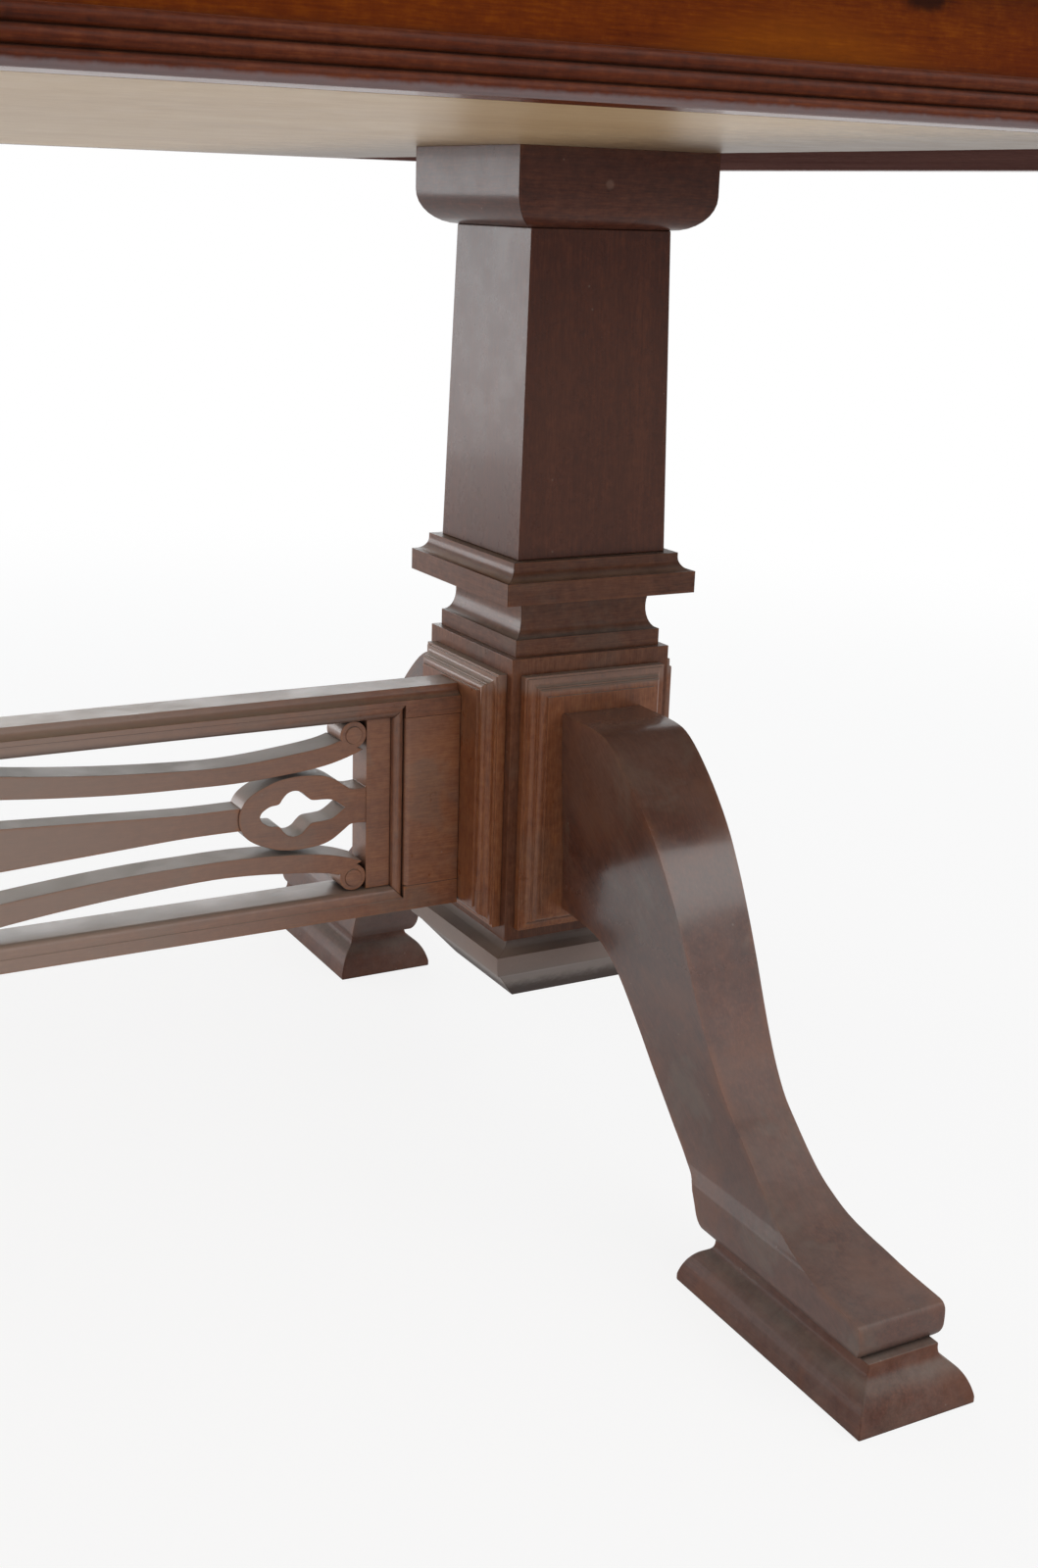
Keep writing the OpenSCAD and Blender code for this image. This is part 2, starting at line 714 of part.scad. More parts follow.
// Half of the tablet's edge from its middle to its tip, and of its pierced hole
tablet_edge_shares = [[0, 1], [0.2, 0.98], [0.36, 0.9], [0.48, 0.86], [0.6, 0.84], [0.72, 0.74],
    [0.84, 0.58], [0.93, 0.5], [1, 0.46]];
tablet_hole_shares = [[0, 0.56], [0.1, 0.5], [0.18, 0.32], [0.25, 0.26], [0.38, 0.3], [0.48, 0.22],
    [0.58, 0]];

function four_ways(p) = let (half = concat([for (q = reversed(p)) [-q[0], q[1]]],
    [for (i = [1:len(p) - 1]) p[i]])) shut(half);

module tablet_outline() {
    polygon(four_ways(smooth(placed(tablet_edge_shares, [0, 0], [tablet_l / 2, tablet_h / 2]))));
}

module fret_middle_bars() {
    mahogany() for (side = [-1, 1]) at_end(side) upright_work(fret_t - 4 * fret_step) difference() {
        from_strip() difference() {
            polygon(shut(smooth(placed(middle_bar_shares, [0, 0], [strip_x, open_half]))));
            ring_outline();
        }
        tablet_outline();
        translate([-tablet_l, -open_half]) square([tablet_l, 2 * open_half]);
    }
}

module fret_tablet() {
    mahogany() upright_work(fret_t - 2 * fret_step) difference() {
        tablet_outline();
        polygon(four_ways(smooth(placed(tablet_hole_shares, [0, 0], [tablet_l / 2, tablet_h / 2]))));
    }
}

// Fixed frame on top of the caps
module well_board() {
    pale_wood() difference() {
        translate([-board_end, -apron_in_y + board_side, under_z])
            cube([2 * board_end, 2 * (apron_in_y - board_side), board_t]);
        for (side = [-1, 1]) at_pedestal(side) cap_screw_bores();
    }
}

module cross_rails() {
    pale_wood() for (side = [-1, 1]) at_pedestal(side) difference() {
        translate([-board_past, -cross_l / 2, cross_z]) cube([2 * board_past, cross_l, cross_t]);
        cap_screw_bores();
        both_sides() translate([0, bearer_y, 0]) bearer_screw_bore();
    }
}

bearer_top = top_z - seat_gap;
bearer_h = bearer_top - bearer_z;
groove_up = 3;
groove_z = bearer_z + groove_up;
gear_down = 5;
gear_z = top_z - gear_down - gear_t;
pinion_teeth = 18;
pinion_r = gear_module * pinion_teeth / 2;
addendum = 0.8 * gear_module;
dedendum = gear_module;
pocket_under = 2;
pocket_z = gear_z - pocket_under;
pocket_r = pinion_r + addendum + 3 * slide_gap;
pin_d = 6;
pin_head_d = 12;
pin_head_h = 2;
pin_floor = 2;
pin_in = pocket_z - bearer_z - pin_floor;

module bearer_screw() {
    screw(bearer_top - screw_sink, bearer_h - screw_sink + bearer_screw_in);
}

module bearer_screw_bore() {
    screw_bore(bearer_top - screw_sink, bearer_h - screw_sink + bearer_screw_in);
}

// A bearer along the +Y side, grooved on both faces for the runners' tongues
module bearer() {
    half = bearer_w / 2;
    section = [[half, bearer_z], [half, groove_z], [half - groove_d, groove_z],
        [half - groove_d, groove_z + groove_h], [half, groove_z + groove_h], [half, bearer_top]];
    difference() {
        rotate([90, 0, 90]) linear_extrude(height = bearer_l, center = true) polygon(mirrored(section));
        for (side = [-1, 1]) translate([side * span / 2, 0, 0]) bearer_screw_bore();
    }
}

module bearers() {
    pale_wood() {
        translate([0, bearer_y, 0]) bearer();
        translate([0, -bearer_y, 0]) difference() {
            bearer();
            translate([0, 0, pocket_z]) cylinder(r = pocket_r, h = bearer_h);
            translate([0, 0, pocket_z - pin_in]) cylinder(d = pin_d + bore_gap, h = pin_in + cut);
        }
    }
}

module frame_screws() {
    brass() for (side = [-1, 1]) at_pedestal(side) {
        cap_screws();
        both_sides() translate([0, bearer_y, 0]) bearer_screw();
    }
}

// Involute teeth: half the angle of a tooth at radius q, for base radius rb
pressure_angle = 20;
backlash = 0.1;
tooth_steps = 4;
function inv(a) = tan(a) - a * PI / 180;
function tooth_half(q, rb) = 90 / pinion_teeth - backlash / pinion_r * 180 / PI
    + (inv(pressure_angle) - inv(acos(min(rb / q, 1)))) * 180 / PI;

module pinion() {
    rb = pinion_r * cos(pressure_angle);
    tip = pinion_r + addendum;
    root = pinion_r - dedendum;
    flank = [for (i = [0:tooth_steps]) let (q = rb + (tip - rb) * i / tooth_steps) [q, tooth_half(q, rb)]];
    edge = concat([[root, flank[0][1]]], flank);
    tooth = concat([for (e = edge) [e[0], -e[1]]], reversed(edge));
    brass() translate([0, -bearer_y, 0]) difference() {
        union() {
            translate([0, 0, gear_z]) linear_extrude(height = gear_t)
                polygon([for (k = [0:pinion_teeth - 1], e = tooth)
                    let (a = 90 + e[1] + 360 * k / pinion_teeth) e[0] * [cos(a), sin(a)]]);
            translate([0, 0, pocket_z + bore_gap]) cylinder(d = pin_head_d, h = gear_z - pocket_z);
        }
        translate([0, 0, pocket_z - cut]) cylinder(d = pin_d + 2 * bore_gap, h = bearer_h);
    }
}

module pinion_pin() {
    shank = gear_z + gear_t + seat_gap - pocket_z + pin_in;
    steel() translate([0, -bearer_y, pocket_z - pin_in]) {
        cylinder(d = pin_d, h = shank);
        translate([0, 0, shank]) cylinder(d = pin_head_d, h = pin_head_h);
    }
}

// The moulded edge of the top: [share of its width, share of its thickness]
edge_cove_shares = [[0.56, 0], [0.88, 0.36]];
edge_step_shares = [[0.88, 0.42], [1, 0.42], [1, 0.5]];
edge_round_shares = [[1, 0.5], [0.68, 0.95]];
edge_top_shares = [[0.68, 1], [0, 1]];

module edge_profile() {
    size = [edge_w, top_t];
    cove = placed(edge_cove_shares, [0, 0], size);
    ovolo = placed(edge_round_shares, [0, 0], size);
    polygon(concat([[0, 0]], across_then_up(cove[0], cove[1]), placed(edge_step_shares, [0, 0], size),
        up_then_across(ovolo[0], ovolo[1]), placed(edge_top_shares, [0, 0], size)));
}

// The moulded edge along X, its outer side towards +Y
module edge_along(length) {
    rotate([90, 0, 90]) linear_extrude(height = length) edge_profile();
}

// The moulded edge across the end of the table, its outer side towards +X
module edge_across(length) {
    translate([0, length / 2, 0]) rotate([90, 0, 0]) linear_extrude(height = length) edge_profile();
}

dowel_shares = [-0.68, 0, 0.68];
dowel_fit = 0.05;

// Pegs across a joint that lies in the plane X = 0, half their length on each side
module pegs(reach, grow = 0) {
    for (s = dowel_shares) translate([-dowel_l / 2 - grow, s * reach, 0]) rotate([0, 90, 0])
        cylinder(d = dowel_d + 2 * grow, h = dowel_l + 2 * grow);
}

// Screws up through a runner into the top, on both bearers; out is the runner's side
module runner_screw_places(out) {
    for (side = [-1, 1], s = runner_screw_shares)
        translate([s * runner_out, side * (bearer_y + out * (bearer_w + runner_w) / 2), 0]) children();
}

// Turns a screw head down, the head sunk in the underside of a runner
module from_below() {
    translate([0, 0, bearer_z + slide_gap + screw_sink]) mirror([0, 0, 1]) children();
}

module runner_screw() {
    from_below() screw(0, top_z - bearer_z + runner_screw_in);
}

module runner_screw_bore() {
    from_below() screw_bore(0, top_z - bearer_z + runner_screw_in);
}

// Half of the top, its joint at X = 0; out says which side of the bearers its runners are on
module top_half(out) {
    inner_x = table_l / 2 - edge_w;
    inner_y = table_w / 2 - edge_w;
    difference() {
        union() {
            translate([0, -inner_y, top_z]) cube([inner_x, 2 * inner_y, top_t]);
            translate([inner_x, 0, top_z]) edge_across(2 * inner_y);
            both_sides() {
                translate([0, inner_y, top_z]) edge_along(inner_x);
                translate([inner_x, inner_y, top_z]) rotate_extrude(angle = 90) edge_profile();
            }
        }
        translate([0, 0, top_z + top_t / 2]) pegs(table_w / 2, dowel_fit);
        runner_screw_places(out) runner_screw_bore();
    }
}

module top_right() {
    figured() top_half(1);
}

module top_left() {
    figured() at_end(-1) top_half(-1);
}

module top_pegs() {
    pale_wood() translate([0, 0, top_z + top_t / 2]) pegs(table_w / 2);
}

// Aprons under the edge of the top, mitred at the corners
module side_apron_pair() {
    figured() both_sides() translate([0, 0, under_z]) linear_extrude(height = apron_h)
        polygon([[0, apron_y], [apron_x, apron_y], [apron_in_x, apron_in_y], [0, apron_in_y]]);
}

module end_apron() {
    figured() translate([0, 0, under_z]) linear_extrude(height = apron_h)
        polygon([[apron_x, -apron_y], [apron_x, apron_y], [apron_in_x, apron_in_y],
            [apron_in_x, -apron_in_y]]);
}

// Section of the reeded moulding: three equal reeds on a core, with grooves between them
reeds = 3;
reed_core_share = 0.5;

module reed_profile() {
    reed_r = reed_h / (2 * reeds);
    square([reed_core_share * reed_t, reed_h]);
    for (i = [0:reeds - 1]) translate([reed_t - reed_r, (2 * i + 1) * reed_r]) circle(r = reed_r);
}

module reeding() {
    outer_x = apron_x + reed_t;
    outer_y = apron_y + reed_t;
    figured() {
        both_sides() intersection() {
            translate([0, apron_y, under_z]) rotate([90, 0, 90]) linear_extrude(height = outer_x) reed_part();
            translate([0, 0, under_z - cut]) linear_extrude(height = reed_h + 2 * cut)
                polygon([[0, 0], [0, outer_y], [outer_x, outer_y], [apron_x, apron_y], [apron_x, 0]]);
        }
        intersection() {
            translate([apron_x, outer_y, under_z]) rotate([90, 0, 0])
                linear_extrude(height = 2 * outer_y) reed_part();
            translate([0, 0, under_z - cut]) linear_extrude(height = reed_h + 2 * cut)
                polygon([[0, 0], [apron_x, apron_y], [outer_x, outer_y], [outer_x, -outer_y],
                    [apron_x, -apron_y]]);
        }
    }
}

// The reeding's section without what would reach into the apron behind it
module reed_part() {
    intersection() {
        reed_profile();
        square([reed_t, reed_h]);
    }
}

module corner_block_pair() {
    pale_wood() both_sides() translate([apron_in_x - corner_block, apron_in_y - corner_block, cross_z])
        cube([corner_block, corner_block, top_z - cross_z]);
}

// The board that closes the underside from the fixed board to the end apron
module end_board() {
    from = board_end + board_gap;
    color([0.2, 0.13, 0.1]) translate([from, -apron_in_y, under_z])
        cube([apron_in_x - from, 2 * apron_in_y, board_t]);
}

// A rack's back behind its teeth, its length past the pinion, and where its back face lies
rack_body = 4;
rack_past = 20;
rack_back = pinion_r + dedendum + rack_body - bearer_w / 2;

// A runner beside the back bearer, tongued into its groove and rebated for a rack
module runner(out) {
    near = bearer_w / 2 + slide_gap;
    far = near + runner_w - slide_gap;
    tip = bearer_w / 2 - groove_d + slide_gap;
    back = bearer_w / 2 + rack_back;
    section = [[near, bearer_z + slide_gap], [near, groove_z + slide_gap], [tip, groove_z + slide_gap],
        [tip, groove_z + groove_h - slide_gap], [near, groove_z + groove_h - slide_gap],
        [near, gear_z - bore_gap], [back, gear_z - bore_gap],
        [back, gear_z + gear_t + bore_gap], [near, gear_z + gear_t + bore_gap],
        [near, bearer_top], [far, bearer_top], [far, bearer_z + slide_gap]];
    translate([-runner_past, bearer_y, 0]) rotate([90, 0, 90])
        linear_extrude(height = runner_past + runner_out) scale([out, 1]) polygon(section);
}

module runner_pair(out) {
    pale_wood() difference() {
        both_sides() runner(out);
        runner_screw_places(out) runner_screw_bore();
    }
}

module runners_right() {
    runner_pair(1);
}

module runners_left() {
    at_end(-1) runner_pair(-1);
}

// A rack from X = 0 back over its travel; its teeth point towards the pinion along +Y
module rack() {
    pitch = PI * gear_module;
    slope = tan(pressure_angle);
    half_mid = pitch / 4 - backlash;
    low = -dedendum;
    first = -ceil((travel + rack_past) / pitch);
    last = ceil(rack_past / pitch);
    start = (first - 0.5) * pitch;
    end = (last + 0.5) * pitch;
    linear_extrude(height = gear_t) polygon(concat(
        [[start, low - rack_body], [start, low]],
        [for (k = [first:last - 1], e = [[-1, low], [-1, addendum], [1, addendum], [1, low]])
            [(k + 0.5) * pitch + e[0] * (half_mid - slope * e[1]), e[1]]],
        [[end, low], [end, low - rack_body]]));
}

module rack_right() {
    brass() translate([0, -bearer_y - pinion_r, gear_z]) rack();
}

module rack_left() {
    brass() at_end(-1) translate([0, -bearer_y + pinion_r, gear_z]) mirror([0, 1, 0]) rack();
}

module runner_screws(out) {
    brass() runner_screw_places(out) runner_screw();
}

// The loose leaf, stored along the table on the cross rails
module leaf() {
    inner = table_w / 2 - edge_w;
    figured() translate([0, 0, bearer_z]) difference() {
        union() {
            translate([-inner, -leaf_w / 2, 0]) cube([2 * inner, leaf_w, top_t]);
            for (side = [-1, 1]) at_end(side) translate([inner, 0, 0]) edge_across(leaf_w);
        }
        for (y = [-1, 1]) translate([0, y * leaf_w / 2, top_t / 2]) rotate([0, 0, 90])
            pegs(table_w / 2, dowel_fit);
    }
}

module leaf_pegs() {
    pale_wood() translate([0, leaf_w / 2, bearer_z + top_t / 2]) rotate([0, 0, 90]) pegs(table_w / 2);
}

// Locks that swing across the joint under the top and hook on a peg
lock_plate_t = 2;
lock_plate_end = 14;
lock_pin_d = 6;
lock_pin_h = 6;
lock_slot_gap = 1;
lock_z = top_z - lock_plate_t - slide_gap - arm_t;
lock_head_d = 10;
lock_head_h = lock_pin_h - arm_t - 2 * slide_gap;

module lock_plate(at) {
    translate([at - lock_plate_end, lock_y - lock_plate_w / 2, top_z - lock_plate_t])
        cube([2 * lock_plate_end, lock_plate_w, lock_plate_t]);
    translate([at, lock_y, top_z - lock_plate_t - lock_pin_h]) cylinder(d = lock_pin_d, h = lock_pin_h);
}

// The plate that carries an arm has a pin with a head under the arm
module lock_plates() {
    brass() both_sides() {
        lock_plate(lock_x);
        translate([lock_x, lock_y, top_z - lock_plate_t - lock_pin_h])
            cylinder(d = lock_head_d, h = lock_head_h);
    }
}

module lock_keepers() {
    brass() both_sides() lock_plate(lock_x - lock_l);
}

// One arm at rest, turned in from the joint, with the slot on the side it swings towards
module lock_arm() {
    slot_w = lock_pin_d + 2 * lock_slot_gap;
    brass() translate([lock_x, lock_y, lock_z]) difference() {
        linear_extrude(height = arm_t) difference() {
            union() {
                circle(d = arm_w);
                translate([-arm_w / 2, -lock_l]) square([arm_w, lock_l]);
                translate([0, -lock_l]) circle(d = arm_w);
            }
            translate([0, -lock_l]) circle(d = slot_w);
            translate([-arm_w, -lock_l - slot_w / 2]) square([arm_w, slot_w]);
        }
        translate([0, 0, -cut]) cylinder(d = lock_pin_d + 2 * bore_gap, h = arm_t + 2 * cut);
    }
}

at_pedestal(1) cap();  // cap_right
at_pedestal(-1) cap();  // cap_left
at_pedestal(1) shaft();  // shaft_right
at_pedestal(-1) shaft();  // shaft_left
at_pedestal(1) collar();  // collar_right
at_pedestal(-1) collar();  // collar_left
at_pedestal(1) block();  // block_right
at_pedestal(-1) block();  // block_left
at_pedestal(1) raised_panels();  // raised_panels_right
at_pedestal(-1) raised_panels();  // raised_panels_left
at_pedestal(1) base_moulding();  // base_moulding_right
at_pedestal(-1) base_moulding();  // base_moulding_left
at_pedestal(1) mirror([0, 1, 0]) leg();  // leg_front_right
at_pedestal(1) leg();  // leg_back_right
at_pedestal(-1) mirror([0, 1, 0]) leg();  // leg_front_left
at_pedestal(-1) leg();  // leg_back_left
at_pedestal(1) feet();  // feet_right
at_pedestal(-1) feet();  // feet_left
tie_rods();
frame_bolts();
stretcher_top_rail();
stretcher_bottom_rail();
stretcher_stiles();
stretcher_beads();
fret_ends();
fret_upper_bars();
fret_lower_bars();
fret_middle_bars();
fret_tablet();
well_board();
cross_rails();
bearers();
frame_screws();
pinion_pin();
leaf();
leaf_pegs();
top_right();
side_apron_pair();  // side_aprons_right
end_apron();  // end_apron_right
reeding();  // reeding_right
corner_block_pair();  // corner_blocks_right
end_board();  // end_board_right
runners_right();
rack_right();
runner_screws(1);  // runner_screws_right
top_pegs();
lock_plates();
top_left();
at_end(-1) side_apron_pair();  // side_aprons_left
at_end(-1) end_apron();  // end_apron_left
at_end(-1) reeding();  // reeding_left
at_end(-1) corner_block_pair();  // corner_blocks_left
at_end(-1) end_board();  // end_board_left
runners_left();
rack_left();
at_end(-1) runner_screws(-1);  // runner_screws_left
lock_keepers();
pinion();
mirror([0, 1, 0]) lock_arm();  // lock_arm_front
lock_arm();  // lock_arm_back
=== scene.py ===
import json
import math

import bmesh
import bpy
from mathutils import Matrix, Vector

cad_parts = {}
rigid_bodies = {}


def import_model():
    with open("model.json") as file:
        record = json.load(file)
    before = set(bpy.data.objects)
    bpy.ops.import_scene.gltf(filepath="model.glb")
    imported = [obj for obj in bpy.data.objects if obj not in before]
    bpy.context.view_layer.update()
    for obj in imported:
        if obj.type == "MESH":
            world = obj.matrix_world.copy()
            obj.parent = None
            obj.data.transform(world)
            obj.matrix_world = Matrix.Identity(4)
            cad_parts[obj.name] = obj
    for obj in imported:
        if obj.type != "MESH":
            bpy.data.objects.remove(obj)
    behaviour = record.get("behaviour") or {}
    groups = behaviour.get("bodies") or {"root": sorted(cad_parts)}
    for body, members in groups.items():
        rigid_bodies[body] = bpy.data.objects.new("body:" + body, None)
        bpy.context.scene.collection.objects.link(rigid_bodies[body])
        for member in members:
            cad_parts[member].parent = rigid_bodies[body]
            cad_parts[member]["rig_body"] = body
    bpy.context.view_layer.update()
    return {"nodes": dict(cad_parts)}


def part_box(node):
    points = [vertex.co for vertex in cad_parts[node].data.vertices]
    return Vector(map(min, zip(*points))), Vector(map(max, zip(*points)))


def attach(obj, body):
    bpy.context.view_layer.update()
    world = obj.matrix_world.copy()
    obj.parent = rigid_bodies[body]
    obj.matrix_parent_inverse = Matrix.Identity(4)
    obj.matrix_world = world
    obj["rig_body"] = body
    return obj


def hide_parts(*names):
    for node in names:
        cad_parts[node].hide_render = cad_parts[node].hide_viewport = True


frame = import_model()

# The view of the photograph: a camera at the height of the apron, turned to the
# right-hand pedestal and looking a little down, with a normal lens and a slight
# roll of the hand-held camera.
CAMERA_AT = Vector((-0.0587, -1.1535, 0.6549))
CAMERA_YAW = math.radians(28.98)
CAMERA_DOWN = math.radians(16.95)
CAMERA_ROLL = math.radians(1.82)
LENS_PER_SENSOR = 43.67 / 36

camera_data = bpy.data.cameras.new("camera")
camera_data.sensor_fit = "VERTICAL"
camera_data.sensor_height = 36
camera_data.lens = LENS_PER_SENSOR * camera_data.sensor_height
camera_data.clip_start = 0.01
camera = bpy.data.objects.new("camera", camera_data)
camera.matrix_world = (
    Matrix.Translation(CAMERA_AT)
    @ Matrix.Rotation(-CAMERA_YAW, 4, "Z")
    @ Matrix.Rotation(math.pi / 2 - CAMERA_DOWN, 4, "X")
    @ Matrix.Rotation(CAMERA_ROLL, 4, "Z")
)
bpy.context.scene.collection.objects.link(camera)
bpy.context.scene.camera = camera
bpy.context.scene.view_settings.view_transform = "Standard"

# A plain pale floor that shows white to the camera and keeps the table's soft
# shadow, in an even pale room. Soft light comes from three windows: one behind at
# the right, a low one behind at the left, and a high one in front.


class Value:
    """A number that varies over a surface. Arithmetic on it adds Math nodes."""

    def __init__(self, graph, socket):
        self.graph = graph
        self.socket = socket

    def math(self, operation, *others):
        sockets = dict(enumerate((self,) + others))
        return self.graph.value("ShaderNodeMath", {"operation": operation}, sockets)

    def swapped(self, operation, other):
        return self.graph.value("ShaderNodeMath", {"operation": operation}, {0: other, 1: self})

    def __add__(self, other):
        return self.math("ADD", other)

    def __radd__(self, other):
        return self.swapped("ADD", other)

    def __sub__(self, other):
        return self.math("SUBTRACT", other)

    def __rsub__(self, other):
        return self.swapped("SUBTRACT", other)

    def __mul__(self, other):
        return self.math("MULTIPLY", other)

    def __rmul__(self, other):
        return self.swapped("MULTIPLY", other)

    def __truediv__(self, other):
        return self.math("DIVIDE", other)

    def __rtruediv__(self, other):
        return self.swapped("DIVIDE", other)

    def __abs__(self):
        return self.math("ABSOLUTE")

    def rise(self, low, high):
        """0 below low, 1 above high, and smooth between them."""
        return self.graph.value(
            "ShaderNodeMapRange",
            {"interpolation_type": "SMOOTHSTEP"},
            {"Value": self, "From Min": low, "From Max": high},
        )


class Graph:
    """A node tree under construction, with one method that adds any node."""

    def __init__(self, tree):
        self.tree = tree
        self.tree.nodes.clear()

    def node(self, kind, settings=None, sockets=None):
        made = self.tree.nodes.new(kind)
        for name, setting in (settings or {}).items():
            if name == "stops":
                ramp = made.color_ramp
                while len(ramp.elements) < len(setting):
                    ramp.elements.new(1.0)
                for element, (position, colour) in zip(ramp.elements, setting):
                    element.position = position
                    element.color = colour
            else:
                setattr(made, name, setting)
        for key, given in (sockets or {}).items():
            for part in given if isinstance(given, list) else [given]:
                if isinstance(part, Value):
                    part = part.socket
                if isinstance(part, bpy.types.NodeSocket):
                    self.tree.links.new(part, made.inputs[key])
                else:
                    made.inputs[key].default_value = part
        return made

    def value(self, kind, settings=None, sockets=None, output=0):
        return Value(self, self.node(kind, settings, sockets).outputs[output])

    def vector(self, parts):
        return self.node("ShaderNodeCombineXYZ", None, dict(enumerate(parts))).outputs[0]


class Finish(Graph):
    """The shader of a material or of the world."""

    def __init__(self, owner):
        owner.use_nodes = True
        self.owner = owner
        super().__init__(owner.node_tree)

    def in_view(self):
        """1 for what the eye sees, straight or by way of a mirror or glass, else 0."""
        path = self.node("ShaderNodeLightPath")
        eye, mirror, glass = [
            Value(self, path.outputs["Is %s Ray" % kind])
            for kind in ("Camera", "Glossy", "Transmission")
        ]
        return eye.math("MAXIMUM", mirror).math("MAXIMUM", glass)

    def axes(self):
        """The three Object coordinates, in metres."""
        place = self.node("ShaderNodeTexCoord").outputs["Object"]
        parts = self.node("ShaderNodeSeparateXYZ", None, {0: place})
        return [Value(self, parts.outputs[i]) for i in range(3)]

    def noise(self, vector, waves, detail, roughness, distortion=0.0):
        """Noise with this many waves in a metre along each axis."""
        scaled = self.node("ShaderNodeVectorMath", {"operation": "MULTIPLY"}, {0: vector, 1: waves})
        sockets = {"Vector": scaled.outputs[0], "Scale": 1.0, "Detail": detail}
        sockets.update({"Roughness": roughness, "Distortion": distortion})
        return self.value("ShaderNodeTexNoise", None, sockets)

    def mix(self, share, under, over):
        made = self.node("ShaderNodeMix", {"data_type": "RGBA"}, {0: share, 6: under, 7: over})
        return made.outputs[2]

    def hemmed_in(self, reach, **settings):
        """1 deep in a corner, 0 where nothing stands within that many metres."""
        open_share = self.value("ShaderNodeAmbientOcclusion", settings, {"Distance": reach}, "AO")
        return 1 - open_share

    def surface(self, constants, links, height=None, depth=0.0):
        sockets = dict(constants)
        sockets.update(links)
        if height is not None:
            relief = {"Strength": 1.0, "Distance": depth, "Height": height}
            sockets["Normal"] = self.node("ShaderNodeBump", None, relief).outputs[0]
        shader = self.node("ShaderNodeBsdfPrincipled", None, sockets)
        self.node("ShaderNodeOutputMaterial", None, {0: shader.outputs[0]})
        return self.owner


FLOOR_SIZE = 14.0
floor_mesh = bpy.data.meshes.new("floor")
half = FLOOR_SIZE / 2
corners = [(-half, -half, 0), (half, -half, 0), (half, half, 0), (-half, half, 0)]
floor_mesh.from_pydata(corners, [], [(0, 1, 2, 3)])
floor = bpy.data.objects.new("floor", floor_mesh)
bpy.context.scene.collection.objects.link(floor)

# The floor glows this much round the table and wholly at a distance, where the
# last of the shadow is gone. The two distances are squared.
GLOW_NEAR = 0.86
FADE_START, FADE_END = 2.0, 9.0
WHITE = (1.0, 1.0, 1.0, 1.0)
floor_finish = Finish(bpy.data.materials.new("floor"))
floor_x, floor_y, _ = floor_finish.axes()
far = (floor_x * floor_x + floor_y * floor_y).rise(FADE_START, FADE_END)
glow_share = GLOW_NEAR + far * (1 - GLOW_NEAR)
matt = floor_finish.node("ShaderNodeBsdfDiffuse", None, {"Color": (0.8, 0.8, 0.8, 1.0)})
glow = floor_finish.node("ShaderNodeEmission", None, {"Color": WHITE, "Strength": 1.0})
shown = floor_finish.in_view() * glow_share
floor_mix = floor_finish.node(
    "ShaderNodeMixShader", None, {0: shown, 1: matt.outputs[0], 2: glow.outputs[0]}
)
floor_finish.node("ShaderNodeOutputMaterial", None, {0: floor_mix.outputs[0]})
floor.data.materials.append(floor_finish.owner)

world = bpy.data.worlds.new("room")
bpy.context.scene.world = world
room = Finish(world)
backdrop = room.node("ShaderNodeBackground", None, {"Color": WHITE, "Strength": 1.0})
pale = {"Color": (0.95, 0.97, 1.0, 1.0), "Strength": 0.5}
room_light = room.node("ShaderNodeBackground", None, pale)
room_shown = room.in_view()
room_mix = room.node(
    "ShaderNodeMixShader", None, {0: room_shown, 1: room_light.outputs[0], 2: backdrop.outputs[0]}
)
room.node("ShaderNodeOutputWorld", None, {0: room_mix.outputs[0]})


def window(name, at, towards, width, height, power, colour):
    data = bpy.data.lights.new(name, "AREA")
    data.shape = "RECTANGLE"
    data.size = width
    data.size_y = height
    data.energy = power
    data.color = colour
    lamp = bpy.data.objects.new(name, data)
    lamp.location = at
    lamp.rotation_euler = (Vector(towards) - Vector(at)).to_track_quat("-Z", "Y").to_euler()
    lamp.visible_camera = False
    bpy.context.scene.collection.objects.link(lamp)


TABLE = (0.2, 0.0, 0.3)
PEDESTAL = (0.4, 0.0, 0.3)
window("window_behind", (1.6, 4.4, 1.7), TABLE, 3.0, 2.0, 50, (0.92, 0.97, 1.0))
window("window_beside", (-2.4, 3.4, 0.8), TABLE, 2.6, 1.6, 78, (0.95, 0.98, 1.0))
window("window_in_front", (1.9, -2.4, 3.0), PEDESTAL, 3.2, 2.6, 58, (1.0, 0.98, 0.95))

# Pedestals: a square cap, a tapered shaft, a mitred collar, a block with four raised
# panels and a mitred base moulding, all in polished brown mahogany. The solids come
# from the frame; each gets eased arrises, as a maker takes them off with fine paper.
shaft_low, shaft_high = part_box("shaft_right")
POST_X = (shaft_low.x + shaft_high.x) / 2
END_X, SIDE_Y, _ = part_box("end_apron_right")[1]
SAME_POINT = 2e-6
FLAT = math.radians(0.4)
GRAIN_DEPTH = 0.00002
IN_A_CORNER, UNDER_A_LEDGE = 0.0045, 0.016


